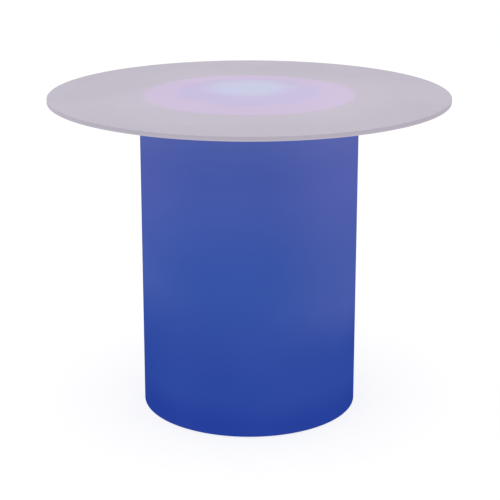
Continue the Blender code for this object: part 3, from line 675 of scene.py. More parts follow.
def makeBoardScrews():
    look = boardScrew
    count, edge, shank, length, head, high = picked(look, "facets edge shank length head headHeight")
    rings = turned([(0, -length), (shank / 3, -length)], count)
    rings += threadRings(shank, edge - length, -edge, look["pitch"], count)
    rings += turned([(shank, 0), (head - edge, 0), (head, edge)], count)
    rings += turned(arc((0, edge), head, high - edge, 0, 1, 6)[1:-1] + [(0, high)], count)
    mesh = skinMesh("round_screw", rings)
    long, wide, depth, taper = picked(look, "crossLength crossWidth crossDepth crossTaper")
    cross = [panelAt(taper * long, taper * wide, edge / 4, high - depth, 2),
             panelAt(long, wide, edge / 4, high + edge, 2)]
    for turn in (0, quarterTurn):
        carve(mesh, skinMesh("cross", cross, places=[turnedBy(turn)]))
    for stem, source in (("driver_screw", "board_screw"), ("panel_screw", "light_board_screw")):
        addCopies(stem, mesh, "zincPlate", source, length)


# Plate that closes the column's lower end
floorPlate = {"facets": 192, "edgeRound": 0.0006, "lampClearance": 0.001, "lampFacets": 128,
              "insertHole": 0.0073, "insertFacets": 48}


def makeFloorPlate():
    look = floorPlate
    low, high = levels("base_plate")
    outer, edge = highest("base_plate").x, look["edgeRound"]
    profile = rounded((0, low), (outer, low, edge, 3), (outer, high, edge, 3), (0, high))
    mesh = turnedMesh("floor_plate", profile, look["facets"])
    countersink(mesh, plateScrew, low, high, axesOf("base_screw"))
    bore(mesh, panScrew["shank"] + panScrew["clearance"], low, high, axesOf("lamp_screw"))
    bore(mesh, look["insertHole"], low, high, axesOf("glide_insert"), look["insertFacets"])
    bore(mesh, panOuter + look["lampClearance"], low, high, [Matrix()], look["lampFacets"], edge)
    addPiece("floor_plate", mesh, "powderCoat", "base_plate")


# Levelling glides: brass insert, threaded stud with a hexagon, swivelling pad
levellingGlide = {
    "facets": 48,
    "edge": 0.0003,
    "insertBore": 0.0043,
    "insertBarrel": 0.007,
    "insertFlange": 0.010,
    "flangeThickness": 0.0015,
    "shank": 0.004,
    "pitch": 0.00125,
    "tipChamfer": 0.0008,
    "hexagon": 0.013,
    "hexagonLevel": 0.0083,
    "hexagonHeight": 0.004,
    "hexagonFace": 0.0062,                  # radius of its round end faces, inside the 30 degree bevels
    "foot": 0.0065,
    "footHeight": 0.0020,
    "neck": 0.0032,
    "padFacets": 64,
    "padEdgeHeight": 0.0035,
    "padCollar": 0.010,
    "padFloor": 0.0028,
    "padLip": 0.0026,
    "swivel": 0.0005,
    "padEdge": 0.0008,
    "padEdgeArc": (0, 0.7),                 # quarter turns of the rounds at each end of a pad's slope
    "padCollarArc": (0.35, 1),
    "grooves": (0.0085, 0.0115, 0.0145),    # radii of the fine grooves in a pad's underside
    "grooveWidth": 0.0008,
    "grooveDepth": 0.0004,
}


def makeInserts():
    look = levellingGlide
    high = span("glide_insert_1").z
    inner, barrel, flange = picked(look, "insertBore insertBarrel insertFlange")
    rounding = (look["edge"], 3)
    seat = high - look["flangeThickness"]
    profile = rounded((inner, 0, *rounding), (barrel, 0, *rounding), (barrel, seat),
                      (flange, seat, *rounding), (flange, high, *rounding), (inner, high, *rounding))
    mesh = turnedMesh("threaded_insert", profile, look["facets"], closed=True)
    addCopies("threaded_insert", mesh, "turnedBrass", "glide_insert")


def makeStuds():
    look = levellingGlide
    low, high = levels("glide_stud_1")
    count, edge, tip, foot, neck, shank = picked(look, "facets edge tipChamfer foot neck shank")
    across, face, hexLow = picked(look, "hexagon hexagonFace hexagonLevel")
    footTop = low + look["footHeight"]
    hexHigh = hexLow + look["hexagonHeight"]
    rings = turned(rounded((0, low), (foot, low, edge, 3), (foot, footTop, edge, 3), (neck, footTop),
                           (neck, hexLow)), count)
    rings += [hexagonAt(across, hexLow, count), hexagonAt(across, hexHigh, count),
              ringAt(shank, hexHigh, count)]
    rings += threadRings(shank, hexHigh + edge, high - tip, look["pitch"], count)
    rings += turned([(shank - tip, high), (0, high)], count)
    mesh = skinMesh("levelling_stud", rings, places=[at(z=-low)])
    # a cone takes the corners off each end of the hexagon
    slope, reach = math.sqrt(3), across / math.sqrt(3) + edge
    for level, way in ((hexLow - low, 1), (hexHigh - low, -1)):
        cone = [(face - slope * edge, level - way * edge), (reach, level - way * edge),
                (reach, level + way * (reach - face) / slope)]
        carve(mesh, turnedMesh("cone", cone, count, closed=True, places=[turnedBy(math.pi / count)]))
    addCopies("levelling_stud", mesh, "zincPlate", "glide_stud", body="stud_{}")


def makePads():
    look = levellingGlide
    outer, high = span("glide_pad_1").x / 2, highest("glide_pad_1").z
    edge, depth, floor = picked(look, "padEdge grooveDepth padFloor")
    throat, chamber = (size + look["swivel"] for size in picked(look, "neck foot"))
    roof, half = high - look["padLip"], look["grooveWidth"] / 2
    corners = [(0, depth), (throat, depth), (throat + depth, 0)]
    for radius in look["grooves"]:
        corners += [(radius - half, 0), (radius - half / 2, depth), (radius + half / 2, depth),
                    (radius + half, 0)]
    corners += [(outer, 0, edge, 4)]
    corners += arc((outer - edge, look["padEdgeHeight"] - edge / 2), edge, edge, *look["padEdgeArc"], 4)
    corners += arc((look["padCollar"] - edge, high - edge), edge, edge, *look["padCollarArc"], 4)
    corners += [(throat + half, high), (throat, high - half), (throat, roof), (chamber, roof),
                (chamber, floor), (0, floor)]
    mesh = turnedMesh("foot_pad", rounded(*corners), look["padFacets"])
    addCopies("foot_pad", mesh, "blackNylon", "glide_pad", body="pad_{}")


# The lamp's levels, from the floor of its pan up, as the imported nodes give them
lampWall = 0.0025
lampFloor = 0.003
seatGap = 0.0003
spigotClearance = 0.001
boardThickness = 0.0016
panLow, panRim = levels("lamp_housing")
panFloor = panLow + lampFloor
panOuter = highest("lamp_lens").x
panInner = panOuter - lampWall
panelTop = lowest("lamp_lens").z - spigotClearance
panelLow = panelTop - boardThickness
cupPlace = middle("control_cup").y
boardLow = lowest("control_board").z
boardTop = boardLow + boardThickness

# Moulded pan of the lamp
lampPan = {
    "facets": 128,
    "edgeRound": 0.0012,
    "rimRound": 0.0005,
    "fillet": 0.0018,
    "bossRadius": 0.0045,
    "bossHole": 0.0016,
    "bossHoleDepth": 0.007,
    "gussetCount": 8,
    "gussetThickness": 0.0018,
    "gussetReach": 0.006,
    "gussetHeight": 0.018,
    "gussetEnd": 0.0012,
}


def gussetFace(side):
    look = lampPan
    low = panLow + lampFloor / 2
    tip = panInner - look["gussetReach"]
    back = panInner + lampWall / 2
    high = panFloor + look["gussetHeight"]
    end = look["gussetEnd"]
    pairs = [(tip, low), (tip, panFloor + end / 2), (tip + end / 2, panFloor + end), (panInner - end, high),
             (back, high), (back, low)]
    return [Vector((radius, side * look["gussetThickness"] / 2, height)) for radius, height in pairs]


def makeLampPan():
    look = lampPan
    flange, rim = highest("lamp_housing").x, look["rimRound"]
    profile = rounded((0, panLow), (flange, panLow, look["edgeRound"], 5), (flange, panFloor, rim, 3),
                      (panOuter, panFloor), (panOuter, panRim, rim, 3), (panInner, panRim, rim, 3),
                      (panInner, panFloor, look["fillet"], 5), (0, panFloor))
    mesh = turnedMesh("lamp_pan", profile, look["facets"])

    bosses = axesOf("light_board_screw")
    reach = panInner - middle("light_board_screw_1").xy.length + lampWall / 2
    bossTop = panelLow - seatGap
    radius = look["bossRadius"]
    boss = [tabAt(radius, reach, panLow + lampFloor / 2), tabAt(radius, reach, bossTop - rim / 2),
            tabAt(radius - rim / 2, reach, bossTop)]
    carve(mesh, skinMesh("bosses", boss, places=bosses), "UNION")
    count = look["gussetCount"]
    gussets = [turnedBy(math.tau * (number + 0.5) / count) for number in range(count)]
    carve(mesh, skinMesh("gussets", [gussetFace(-1), gussetFace(1)], places=gussets), "UNION")
    pocket(mesh, look["bossHole"], bossTop - look["bossHoleDepth"], bossTop, bosses)

    rims = ((seatGap, panLow - seatGap), (seatGap, panFloor + seatGap))
    carve(mesh, panelMesh("window", *picked(controlCup, "width depth corner"), rims, at(y=cupPlace)))
    countersink(mesh, panScrew, panLow, panFloor, axesOf("lamp_screw"))
    addPiece("lamp_pan", mesh, "whiteMoulding", "lamp_housing")


# Seal between the pan's flange and the plate
panGasket = {"facets": 128, "inner": 0.0756, "edgeRound": 0.0004}


def makeGasket():
    mesh = ringMesh("pan_gasket", "lamp_gasket", panGasket["inner"], panGasket, 4)
    addPiece("pan_gasket", mesh, "greyRubber", "lamp_gasket")


# Cup in the pan's underside, with posts for the driver board above and lugs for the flap below
controlCup = {
    "width": 0.070,
    "depth": 0.034,
    "height": 0.020,
    "corner": 0.006,
    "wall": 0.002,
    "lip": 0.003,
    "lipThickness": 0.0015,
    "mouthRound": 0.0005,
    "fillet": 0.0015,
    "postRadius": 0.003,
    "postHole": 0.0016,
    "postHoleDepth": 0.007,
    "buttonHole": 0.0063,
    "inletHole": 0.0053,
    "holeFacets": 48,
    "barrel": 0.0013,
    "barrelLength": 0.008,
    "pinHole": 0.0008,
    "lugThickness": 0.0018,
}
cupCeiling = panLow + controlCup["height"]
cupTop = cupCeiling + controlCup["wall"]


def hingePlace():
    # on the flap's hinge pin, with its own Z along the pin
    return at(*middle("cap_pin")) @ turnedBy(quarterTurn, "X")


def borePin(mesh, reach):
    profile = [(controlCup["pinHole"], -reach), (controlCup["pinHole"], reach)]
    carve(mesh, turnedMesh("pin_bore", profile, smallFacets, places=[hingePlace()]))


def makeControlCup():
    look = controlCup
    wall, lip, fillet, mouth = picked(look, "wall lip fillet mouthRound")
    lipLow = panFloor + seatGap
    lipTop = lipLow + look["lipThickness"]
    # how far the wall's section lies outside the cup's outline, at each height
    ceiling = arc((-wall - fillet, cupCeiling - fillet), fillet, fillet, 1, 0, 4)
    rims = rounded(*ceiling, (-wall, panLow, mouth, 3), (0, panLow), (0, lipLow), (lip, lipLow),
                   (lip, lipTop - mouth), (lip - mouth, lipTop), (0, lipTop), (0, cupTop - mouth),
                   (-mouth, cupTop))
    mesh = panelMesh("recess_cup", *picked(look, "width depth corner"), rims, at(y=cupPlace))

    posts = axesOf("board_screw")
    postTop = boardLow - seatGap
    radius = look["postRadius"]
    post = [(radius + mouth, cupTop - wall / 2), (radius + mouth, cupTop), (radius, cupTop + mouth),
            (radius, postTop)]
    carve(mesh, turnedMesh("posts", post, smallFacets, places=posts), "UNION")
    pocket(mesh, look["postHole"], postTop - look["postHoleDepth"], postTop, posts)

    radius, thickness = look["barrel"], look["lugThickness"]
    centre = look["barrelLength"] / 2 + seatGap + thickness / 2
    lug = [tabAt(radius, radius + seatGap + wall / 2, side * thickness / 2) for side in (-1, 1)]
    lugs = [hingePlace() @ at(z=side * centre) @ turnedBy(quarterTurn) for side in (-1, 1)]
    carve(mesh, skinMesh("lugs", lug, places=lugs), "UNION")
    borePin(mesh, centre + thickness)
    for node, hole in (("power_button", look["buttonHole"]), ("charge_inlet", look["inletHole"])):
        bore(mesh, hole, cupCeiling, cupTop, [standing(node)], look["holeFacets"])
    addPiece("recess_cup", mesh, "whiteMoulding", "control_cup")


# Push button and the switch that it works
pushButton = {"facets": 64, "radius": 0.006, "edgeRound": 0.0008, "edgeArc": (-0.9, 0), "flange": 0.0072,
              "flangeThickness": 0.001, "stem": 0.002, "dish": 0.0035, "dishDepth": 0.0004,
              "dishSlope": 0.8, "ridge": 0.0046, "ridgeHeight": 0.0002}
tactSwitch = {"facets": 32, "width": 0.006, "corner": 0.0006, "bodyHeight": 0.0032, "plunger": 0.0017,
              "legWidth": 0.0007, "legThickness": 0.0003, "legSpacing": 0.0045, "coverThickness": 0.0003}


def makePushButton():
    look = pushButton
    face, high = levels("power_button")
    seat = cupTop + seatGap
    flangeTop = seat + look["flangeThickness"]
    radius, edge, flange, stem = picked(look, "radius edgeRound flange stem")
    ridge, rise, dish, hollow = picked(look, "ridge ridgeHeight dish dishDepth")
    rim = arc((radius - edge, face + rise + edge), edge, edge, *look["edgeArc"], 4)
    slope = (dish / 2, face + look["dishSlope"] * hollow)
    profile = rounded((0, face + hollow), slope, (dish, face + rise),
                      (ridge - 2 * rise, face + rise), (ridge - rise, face), (ridge + rise, face),
                      (ridge + 2 * rise, face + rise), *rim, (radius, seat), (flange, seat, rise, 2),
                      (flange, flangeTop, rise, 2), (stem + rise, flangeTop), (stem, flangeTop + rise),
                      (stem, high - rise), (stem - rise, high), (0, high))
    mesh = turnedMesh("push_button", profile, look["facets"])
    addPiece("push_button", mesh, "greyRubber", "power_button", standing("power_button"),
             "button")


def makeTactSwitch():
    look = tactSwitch
    low, high = levels("power_switch")
    bodyLow = high - look["bodyHeight"]
    edge, plunger = look["corner"] / 2, look["plunger"]
    cover, width, leg = picked(look, "coverThickness width legThickness")
    bm = bmesh.new()
    block(bm, width, width, bodyLow + cover, high, edge)
    block(bm, width - edge, width - edge, bodyLow, bodyLow + cover, cover / 4, finish=1)
    skin(bm, turned(rounded((0, low), (plunger, low, edge, 3), (plunger, bodyLow)), look["facets"]))
    for sideX, sideY in ((-1, -1), (-1, 1), (1, -1), (1, 1)):
        place = at(sideX * (width / 2 + leg), sideY * look["legSpacing"] / 2)
        block(bm, leg, look["legWidth"], bodyLow + cover, high, leg / 4, place, 1)
    mesh = finished(bm, "tact_switch")
    addPiece("tact_switch", mesh, "darkMoulding nickel", "power_switch",
             standing("power_switch"))


# Charging socket, its flap and the flap's pin
chargingSocket = {"facets": 64, "radius": 0.005, "bore": 0.0028, "boreDepth": 0.009, "pin": 0.001,
                  "pinRecess": 0.001, "edgeRound": 0.0003, "pinRound": 0.0005}
socketFlap = {"width": 0.014, "corner": 0.002, "thickness": 0.0015, "reach": 0.0085, "neckGap": 0.001,
              "edgeRound": 0.0004}


def makeChargingSocket():
    look = chargingSocket
    high, back = highest("charge_inlet").z, cupCeiling + look["boreDepth"]
    edge, pin, hole, radius = picked(look, "edgeRound pin bore radius")
    pinLow = cupCeiling + look["pinRecess"]
    profile = rounded((0, pinLow), (pin, pinLow, look["pinRound"], 4), (pin, back), (hole, back),
                      (hole, cupCeiling + edge), (hole + edge, cupCeiling), (radius, cupCeiling, edge, 3),
                      (radius, high - edge), (radius - edge, high), (0, high))
    mesh = turnedMesh("charging_socket", profile, look["facets"])
    for face in mesh.polygons:
        if face.center.xy.length < pin + edge and face.center.z < back:
            face.material_index = 1
    addPiece("charging_socket", mesh, "darkMoulding nickel", "charge_inlet",
             standing("charge_inlet"))


def makeSocketFlap():
    look = socketFlap
    radius, half = controlCup["barrel"], controlCup["barrelLength"] / 2
    edge, neck = look["edgeRound"], look["neckGap"]
    start = radius + neck
    ends = ((edge / 2, -half), (0, edge / 2 - half), (0, half - edge / 2), (edge / 2, half))
    tab = [tabAt(radius - inset, start + neck, level) for inset, level in ends]
    mesh = skinMesh("socket_flap", tab, places=[hingePlace() @ turnedBy(math.pi)])
    high = highest("inlet_cap").z
    low = high - look["thickness"]
    end = lowest("inlet_cap").x
    root = middle("charge_inlet").x + look["reach"] - start
    rims = ((-edge, low), (-edge / 4, low + edge / 3), (0, low + edge), (0, high - edge / 2),
            (-edge / 2, high))
    plate = panelMesh("plate", root - end, look["width"], look["corner"], rims,
                      at((root + end) / 2, cupPlace))
    carve(mesh, plate, "UNION")
    borePin(mesh, half + start + neck)
    addPiece("socket_flap", mesh, "greyRubber", "inlet_cap", body="cap")

    pin, reach = span("cap_pin").z / 2, span("cap_pin").y / 2
    profile = rounded((0, -reach), (pin, -reach, pin / 3, 3), (pin, reach, pin / 3, 3), (0, reach))
    mesh = turnedMesh("flap_pin", profile, smallFacets)
    addPiece("flap_pin", mesh, "zincPlate", "cap_pin", hingePlace())


# Boards: green driver board over the cup, white light panel over the whole lamp
driverBoard = {
    "width": 0.068,
    "depth": 0.032,
    "corner": 0.001,
    "hole": 0.0016,
    "holeFacets": 32,
    "holeChamfer": 0.0001,
    "finish": dict(colours=((30, 92, 58), (36, 101, 66)), patch=60.0, detail=2.0, wander=200.0,
                   rough=(0.26, 0.36)),
    "track": (48, 122, 82),
    "trackScale": 90.0,
    "trackPatches": 110.0,          # patches in which the tracks run one way or the other
    "trackTurn": (0.49, 0.51),      # levels of their speckle between which the tracks change over
    "trackEdges": (0.86, 0.90),     # levels of the wave between which a track's flank rises
    "trackRelief": 0.4,
    "trackHeight": 0.0001,
    "socketWidth": 0.007,
    "socketDepth": 0.006,
    "socketHeight": 0.0042,
    "socketInset": 0.0005,
    "socketPlace": 0.0154,
    # chips and coils on the upper face: place from the middle, size, and the finish's number
    "parts": ((0.000, 0.000, 0.0070, 0.0070, 0.0011, 2), (-0.013, -0.004, 0.0060, 0.0060, 0.0030, 2),
              (0.012, -0.006, 0.0050, 0.0040, 0.0014, 2), (0.012, 0.001, 0.0032, 0.0016, 0.0008, 3),
              (-0.006, 0.007, 0.0032, 0.0016, 0.0008, 3), (0.006, 0.007, 0.0020, 0.0012, 0.0006, 3),
              (0.003, -0.009, 0.0020, 0.0012, 0.0006, 3), (-0.003, -0.009, 0.0020, 0.0012, 0.0006, 3),
              (-0.021, -0.007, 0.0043, 0.0026, 0.0020, 3), (0.021, -0.010, 0.0043, 0.0026, 0.0020, 2)),
    "partEdge": 0.0002,
    "canPlaces": ((-0.022, 0.004), (0.022, 0.002)),
    "canRadius": 0.0025,
    "canHeight": 0.0040,
    "canGroove": 0.0002,
    "canFacets": 32,
}
lightPanel = {
    "facets": 96,
    "edge": 0.0002,
    "finish": dict(colours=((226, 226, 222), (233, 233, 230)), patch=60.0, detail=2.0, wander=200.0,
                   rough=(0.30, 0.40)),
    "track": (204, 205, 204),
    "trackScale": 900.0,
    "trackEdges": (0.90, 0.95),
    "packageSize": 0.005,
    "packageHeight": 0.0014,
    "dotRadius": 0.0019,
    "rings": ((0.72, 12), (0.38, 6)),        # share of the panel's radius, and packages in the ring
    "packageFinish": dict(colours=((228, 214, 150), (236, 224, 166)), patch=900.0, detail=2.0,
                          spread=noiseRange, wander=900.0, rough=(0.24, 0.34)),
    "packageGlow": (196, 208, 255),
    "packageStrength": 1.5,
}


def addTracks(tree, shader, wave, look):
    # tracks where the wave is high, which stand a little proud of the board's mask
    line = remapped(tree, wave, *look["trackEdges"])
    mask = shader.inputs["Base Color"].links[0].from_socket
    feed(tree, shader.inputs["Base Color"], mixed(tree, line, mask, paint(*look["track"])))
    emboss(tree, shader, line, driverBoard["trackRelief"], driverBoard["trackHeight"])


def makeDriverFinish():
    look = driverBoard
    tree, shader, place = makeFinish("solderMask", **look["finish"])
    sockets = {"Vector": place, "Scale": look["trackScale"]}
    bands = [addNode(tree, "TexWave", sockets, bands_direction=axis).outputs["Fac"] for axis in ("X", "Y")]
    choice = remapped(tree, speckle(tree, place, look["trackPatches"], 0.0), *look["trackTurn"])
    either = addNode(tree, "Mix", {0: choice, 2: bands[0], 3: bands[1]}, data_type="FLOAT").outputs[0]
    addTracks(tree, shader, either, look)


def makePanelFinishes():
    look = lightPanel
    tree, shader, place = makeFinish("whitePanel", **look["finish"])
    away = figured(tree, "MULTIPLY", awayFrom(tree, place), look["trackScale"])
    addTracks(tree, shader, figured(tree, "SINE", away), look)
    tree, shader, place = makeFinish("lightPackage", **look["packageFinish"])
    glow(tree, shader, paint(*look["packageGlow"]), look["packageStrength"])


def boredBoard(mesh, low, high, screws):
    # opens the mesh again once its screw holes are in, for what stands on the board
    radius, count, chamfer = picked(driverBoard, "hole holeFacets holeChamfer")
    bore(mesh, radius, low, high, axesOf(screws), count, chamfer)
    bm = bmesh.new()
    bm.from_mesh(mesh)
    bpy.data.meshes.remove(mesh)
    return bm


def addSocket(bm, level, height, place):
    # a lead's socket, on a board at level; a negative height hangs it under the board
    width, depth = picked(driverBoard, "socketWidth socketDepth")
    block(bm, width, depth, *sorted((level, level + height)), seatGap, place, 1)


def makeDriverBoard():
    look = driverBoard
    makeDriverFinish()
    mesh = panelMesh("driver_board", *picked(look, "width depth corner"), ((0, boardLow), (0, boardTop)),
                     at(y=cupPlace))
    bm = boredBoard(mesh, boardLow, boardTop, "board_screw")
    rear = cupPlace + look["depth"] / 2 - look["socketInset"] - look["socketDepth"] / 2
    for side in (-1, 1):
        addSocket(bm, boardTop, look["socketHeight"], at(side * look["socketPlace"], rear))
    for x, y, width, depth, height, finish in look["parts"]:
        block(bm, width, depth, boardTop, boardTop + height, look["partEdge"], at(x, cupPlace + y), finish)
    can, groove, count = picked(look, "canRadius canGroove canFacets")
    waist, canTop = boardTop + can / 2, boardTop + look["canHeight"]
    profile = rounded((0, boardTop), (can, boardTop), (can, waist), (can - groove, waist + groove),
                      (can, waist + 2 * groove), (can, canTop, groove, 3), (0, canTop))
    for x, y in look["canPlaces"]:
        skin(bm, turned(profile, count), False, at(x, cupPlace + y), 4)
    looks = "solderMask ivoryPlug chipBlack tinnedPad nickel"
    addPiece("driver_board", finished(bm, "driver_board"), looks, "control_board")


def makeLightPanel():
    look = lightPanel
    makePanelFinishes()
    radius = highest("light_board").x
    edge, size, dot = picked(look, "edge packageSize dotRadius")
    profile = [(0, panelLow), (radius - edge, panelLow), (radius, panelLow + edge),
               (radius, panelTop - edge), (radius - edge, panelTop), (0, panelTop)]
    mesh = turnedMesh("light_panel", profile, look["facets"])
    bm = boredBoard(mesh, panelLow, panelTop, "light_board_screw")
    top = panelTop + look["packageHeight"]
    dome = [(dot, top)] + arc((0, top), dot, edge, 0, 1, 4)[1:-1] + [(0, top + edge)]
    for share, count in look["rings"]:
        for number in range(count):
            place = turnedBy(math.tau * number / count) @ at(share * radius)
            block(bm, size, size, panelTop, top, edge, place, 2)
            skin(bm, turned(dome, smallFacets), False, place, 3)
    rear = highest("light_lead").y + seatGap + driverBoard["socketDepth"] / 2
    addSocket(bm, panelLow, -driverBoard["socketHeight"], at(middle("light_lead").x, rear))
    looks = "whitePanel ivoryPlug ivoryPlug lightPackage"
    addPiece("light_panel", finished(bm, "light_panel"), looks, "light_board")


# Receiver for the remote control, on the light panel
remoteEye = {"facets": 32, "radius": 0.003, "baseHeight": 0.0008, "edge": 0.0002}


def makeRemoteEye():
    look = remoteEye
    low, high = levels("remote_receiver")
    radius, edge, rise = look["radius"], look["edge"], low + look["baseHeight"]
    inner = radius - 2 * edge
    dome = arc((0, high - inner), inner, inner, 0, 1, 10)[:-1]
    profile = rounded((0, low), (radius, low, edge, 2), (radius, rise), (inner, rise), *dome, (0, high))
    mesh = turnedMesh("remote_eye", profile, look["facets"])
    addPiece("remote_eye", mesh, "darkFilter", "remote_receiver",
             standing("remote_receiver"))


# Battery: tray and cells that lie along X
battery = {"facets": 64, "trayCorner": 0.0015, "trayEdge": 0.0004, "bedGap": 0.0003, "nub": 0.0029,
           "nubHeight": 0.0015, "edgeRound": 0.0010, "sleeveLap": 0.0016, "ringWidth": 0.0018,
           "groove": 0.0005}


def makeBattery():
    look = battery
    nodes = numbered("battery_cell")
    places = [at(*middle(node)) @ turnedBy(quarterTurn, "Y") for node in nodes]
    half, radius = span(nodes[0]).x / 2, span(nodes[0]).z / 2

    low, high = levels("battery_tray")
    soft, gap, corner = picked(look, "trayEdge bedGap trayCorner")
    rims = ((-soft, low), (0, low + soft), (0, high - soft), (-soft, high))
    mesh = panelMesh("cell_tray", *span("battery_tray").xy, corner, rims, standing("battery_tray"))
    bed = [(radius + gap, -half - gap), (radius + gap, half + gap)]
    carve(mesh, turnedMesh("beds", bed, look["facets"], places=places))
    addPiece("cell_tray", mesh, "darkMoulding", "battery_tray")

    # from the flat end round the sleeve to the raised end
    edge, nub, groove = picked(look, "edgeRound nub groove")
    shoulder = half - look["nubHeight"]
    neck = shoulder - 3 * edge
    lap = radius - look["sleeveLap"]
    ring = lap - look["ringWidth"]
    profile = rounded((0, -half + groove), (lap, -half + groove), (lap, -half), (radius, -half, edge, 4),
                      (radius, neck), (radius - groove / 2, neck + edge / 2), (radius, neck + edge),
                      (radius, shoulder, edge, 4), (lap, shoulder), (lap, shoulder - groove / 2),
                      (ring, shoulder - groove / 2), (ring, shoulder - groove), (nub, shoulder - groove),
                      (nub, half, edge / 2, 3), (0, half))
    mesh = turnedMesh("power_cell", profile, look["facets"])
    for face in mesh.polygons:
        away = max(mesh.vertices[i].co.xy.length for i in face.vertices) - gap / 3
        if away < lap and face.center.z < 0 or away < ring:
            face.material_index = 1
        elif away < lap:
            face.material_index = 2
    for number, (node, place) in enumerate(zip(nodes, places), 1):
        addPiece(f"power_cell_{number}", mesh, "cellSleeve nickel paperRing", node, place)


# Leads: a red and a black wire twisted about each other, from socket to socket and to the cells
leadWires = {
    "facets": 12,
    "wireShare": 0.46,          # of the lead's width
    "twist": 0.012,             # length of one turn
    "step": 0.0008,
    "lightBendShare": 0.5,
    "batteryBendShare": 0.75,
    "batteryDrop": 0.017,
}


def wireSections(route, radius, offset, phase):
    # rings round one wire of the pair, square to the route and turning about it
    look = leadWires
    flats = ringAt(radius, 0, look["facets"])
    sections = []
    side = Vector((0, 0, 1))
    travelled = 0.0
    for number, point in enumerate(route):
        ahead = (route[min(number + 1, len(route) - 1)] - route[max(number - 1, 0)]).normalized()
        side = (side - side.dot(ahead) * ahead).normalized()
        other = ahead.cross(side)
        if number:
            travelled += (point - route[number - 1]).length
        angle = phase + math.tau * travelled / look["twist"]
        centre = point + offset * (math.cos(angle) * side + math.sin(angle) * other)
        sections.append([centre + flat.x * side + flat.y * other for flat in flats])
    return sections


def addLead(name, route, width, node):
    # two round wires as wide together as the lead
    radius = leadWires["wireShare"] * width / 2
    bm = bmesh.new()
    for finish, phase in enumerate((0.0, math.pi)):
        skin(bm, wireSections(route, radius, width / 2 - radius, phase), finish=finish)
    addPiece(name, finished(bm, name), "redInsulation blackInsulation", node)


def bentRoute(first, leave, arrive, last):
    count = round((last - first).length / leadWires["step"])
    return interpolate_bezier(first, first + leave, last - arrive, last, count)


def makeLeads():
    look = leadWires
    low, high = lowest("light_lead"), highest("light_lead")
    radius = span("light_lead").x / 2
    first = Vector((low.x + radius, low.y, low.z + radius))
    last = Vector((low.x + radius, high.y, high.z - radius))
    pull = Vector((0, look["lightBendShare"] * (last.y - first.y), 0))
    addLead("panel_lead", bentRoute(first, pull, pull, last), 2 * radius, "light_lead")

    low, high = lowest("battery_lead"), highest("battery_lead")
    radius = high.z - boardTop - driverBoard["socketHeight"] / 2
    first = Vector((low.x + radius, low.y, high.z - radius))
    last = Vector((first.x + look["batteryDrop"], high.y - radius, low.z + radius))
    bend = look["batteryBendShare"] * (last - first)
    route = bentRoute(first, Vector((0, bend.y, 0)), Vector((bend.x, 0, 0)), last)
    rest = math.ceil((high.x - last.x) / look["step"])
    route += [last.lerp(Vector((high.x, last.y, last.z)), (i + 1) / rest) for i in range(rest)]
    addLead("cell_lead", route, 2 * radius, "battery_lead")


# Diffusing dome over the light panel
diffusingDome = {
    "facets": 128,
    "thickness": 0.002,
    "flangeThickness": 0.0025,
    "shoulder": 0.0015,
    "edgeRound": 0.0004,
    "steps": 24,
    "finish": dict(colours=((206, 214, 236), (212, 220, 240)), patch=20.0, wander=90.0, rough=(0.36, 0.46),
                   grain=1600.0, relief=0.08, depth=0.0002, specular=0.3),
    # from the rim up: share of the height, and display colour
    "light": ((0.05, (112, 136, 226)), (0.45, (150, 172, 244)), (1.0, (176, 196, 252))),
}


def makeDome():
    look = diffusingDome
    low, high = levels("lamp_lens")
    tree, shader, place = makeFinish("diffusingDome", **look["finish"])
    share = remapped(tree, along(tree, place, "Z"), panRim, high, kind="LINEAR")
    glow(tree, shader, addRamp(tree, share, look["light"]))

    seat = panRim + seatGap
    shoulder = seat + look["flangeThickness"]
    spigot = panInner - seatGap
    rounding, roof, steps = (look["edgeRound"], 3), high - look["thickness"], look["steps"]
    inside = arc((0, shoulder), spigot - look["thickness"], roof - shoulder, 1, 0, steps)[1:]
    outside = arc((0, shoulder), panOuter - look["shoulder"], high - shoulder, 0, 1, steps)[:-1]
    profile = rounded((0, roof), *inside, (inside[-1][0], low, *rounding), (spigot, low, *rounding),
                      (spigot, seat), (panOuter, seat, *rounding), (panOuter, shoulder, *rounding),
                      *outside, (0, high))
    mesh = turnedMesh("diffusing_dome", profile, look["facets"])
    addPiece("diffusing_dome", mesh, "diffusingDome", "lamp_lens")


# Plain pale floor, white world, soft lamps
studio = {
    "floorSize": 60.0,
    "floorBody": 0.30,         # share of the light that the floor gives back to the camera
    "floorWhite": 0.78,        # its own white, for the camera alone
    "bounce": 0.80,            # what it gives back to the table
    "skyLevel": 0.80,
    "lamps": {
        "top_lamp": {"place": (0.0, -0.5, 4.2), "aim": (0.0, 0.0, 0.7), "size": 3.2, "power": 22.0},
        "front_lamp": {"place": (-2.6, -3.2, 2.6), "aim": (0.0, 0.0, 0.4), "size": 2.6, "power": 9.0},
    },
}


def seenShare(tree):
    # 1 for rays from the camera, and for those that metal and glass send on
    rays = tree.nodes.new("ShaderNodeLightPath").outputs
    either = figured(tree, "MAXIMUM", rays["Is Camera Ray"], rays["Is Glossy Ray"])
    return figured(tree, "MAXIMUM", either, rays["Is Transmission Ray"])


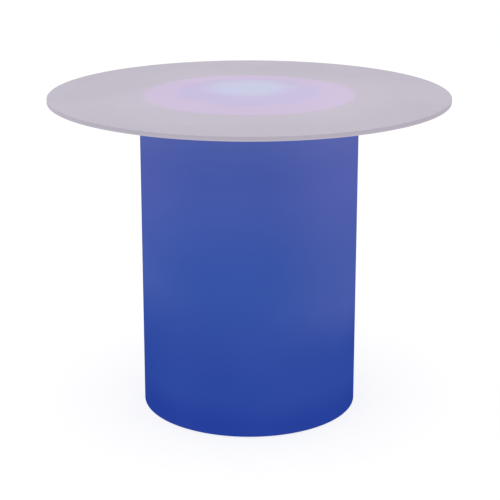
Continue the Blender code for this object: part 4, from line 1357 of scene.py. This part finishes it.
def makeFloor():
    material = bpy.data.materials.new("studioFloor")
    material.use_nodes = True
    tree = material.node_tree
    tree.nodes.clear()
    body = addNode(tree, "BsdfDiffuse", {"Color": (studio["floorBody"],) * 3 + (1,)}).outputs[0]
    white = addNode(tree, "Emission", {"Strength": studio["floorWhite"]}).outputs[0]
    seen = addNode(tree, "AddShader", {0: body, 1: white}).outputs[0]
    bounce = addNode(tree, "Emission", {"Strength": studio["bounce"]}).outputs[0]
    clear = addNode(tree, "BsdfTransparent", {}).outputs[0]
    upper = addNode(tree, "MixShader", {0: seenShare(tree), 1: bounce, 2: seen}).outputs[0]
    under = addNode(tree, "NewGeometry", {}).outputs["Backfacing"]
    both = addNode(tree, "MixShader", {0: under, 1: upper, 2: clear}).outputs[0]
    addNode(tree, "OutputMaterial", {"Surface": both})
    half = studio["floorSize"] / 2
    mesh = bpy.data.meshes.new("studio_floor")
    corners = [(-half, -half, 0), (half, -half, 0), (half, half, 0), (-half, half, 0)]
    mesh.from_pydata(corners, [], [(0, 1, 2, 3)])
    mesh.materials.append(material)
    placed("studio_floor", mesh)


def makeWorld():
    world = bpy.data.worlds.new("studio")
    bpy.context.scene.world = world
    world.use_nodes = True
    tree = world.node_tree
    backdrop = tree.nodes["Background"].inputs
    backdrop["Color"].default_value = (1, 1, 1, 1)
    level = remapped(tree, seenShare(tree), 0.0, 1.0, studio["skyLevel"], 1.0, "LINEAR")
    feed(tree, backdrop["Strength"], level)


def addLamp(name, place, aim, size, power):
    lamp = bpy.data.lights.new(name, "AREA")
    lamp.shape = "DISK"
    lamp.size = size
    lamp.energy = power
    item = placed(name, lamp)
    item.location = place
    item.rotation_euler = (Vector(aim) - Vector(place)).to_track_quat("-Z", "Y").to_euler()


# The photograph's view: from a little over three metres, tilted down
viewpoint = {
    "distance": 3.199,
    "height": 1.344,
    "tilt": 15.02,             # degrees below level
    "focalPixels": 1426.6,
    "frameWidth": 500,
    "sensorWidth": 36.0,
    "shiftX": 0.0015,
    "shiftY": -0.10,
}


def makeCamera():
    look = viewpoint
    camera = bpy.data.cameras.new("photograph")
    camera.sensor_width = look["sensorWidth"]
    camera.lens = look["focalPixels"] * look["sensorWidth"] / look["frameWidth"]
    camera.shift_x = look["shiftX"]
    camera.shift_y = look["shiftY"]
    item = placed("photograph", camera)
    item.location = (0, -look["distance"], look["height"])
    item.rotation_euler = (math.radians(90 - look["tilt"]), 0, 0)
    bpy.context.scene.camera = item


makeFrostedTop()
makeCentringRing()
makeOpalColumn()
makeColumnRings()
makeRestBumpers()
print("top and column made")

makeFloorPlate()
makeCountersunkScrews("plate_screw", plateScrew, "base_screw")
makeCountersunkScrews("pan_screw", panScrew, "lamp_screw")
makeInserts()
makeStuds()
makePads()
print("base and glides made")

makeLampPan()
makeGasket()
makeControlCup()
makePushButton()
makeTactSwitch()
makeChargingSocket()
makeSocketFlap()
print("lamp pan and controls made")

makeDriverBoard()
makeBattery()
makeLightPanel()
makeRemoteEye()
makeBoardScrews()
makeLeads()
makeDome()
print("boards, battery and dome made")

makeFloor()
makeWorld()
for lampName, lampLook in studio["lamps"].items():
    addLamp(lampName, **lampLook)
makeCamera()
bpy.context.scene.view_settings.view_transform = "Standard"
print("studio and camera set")
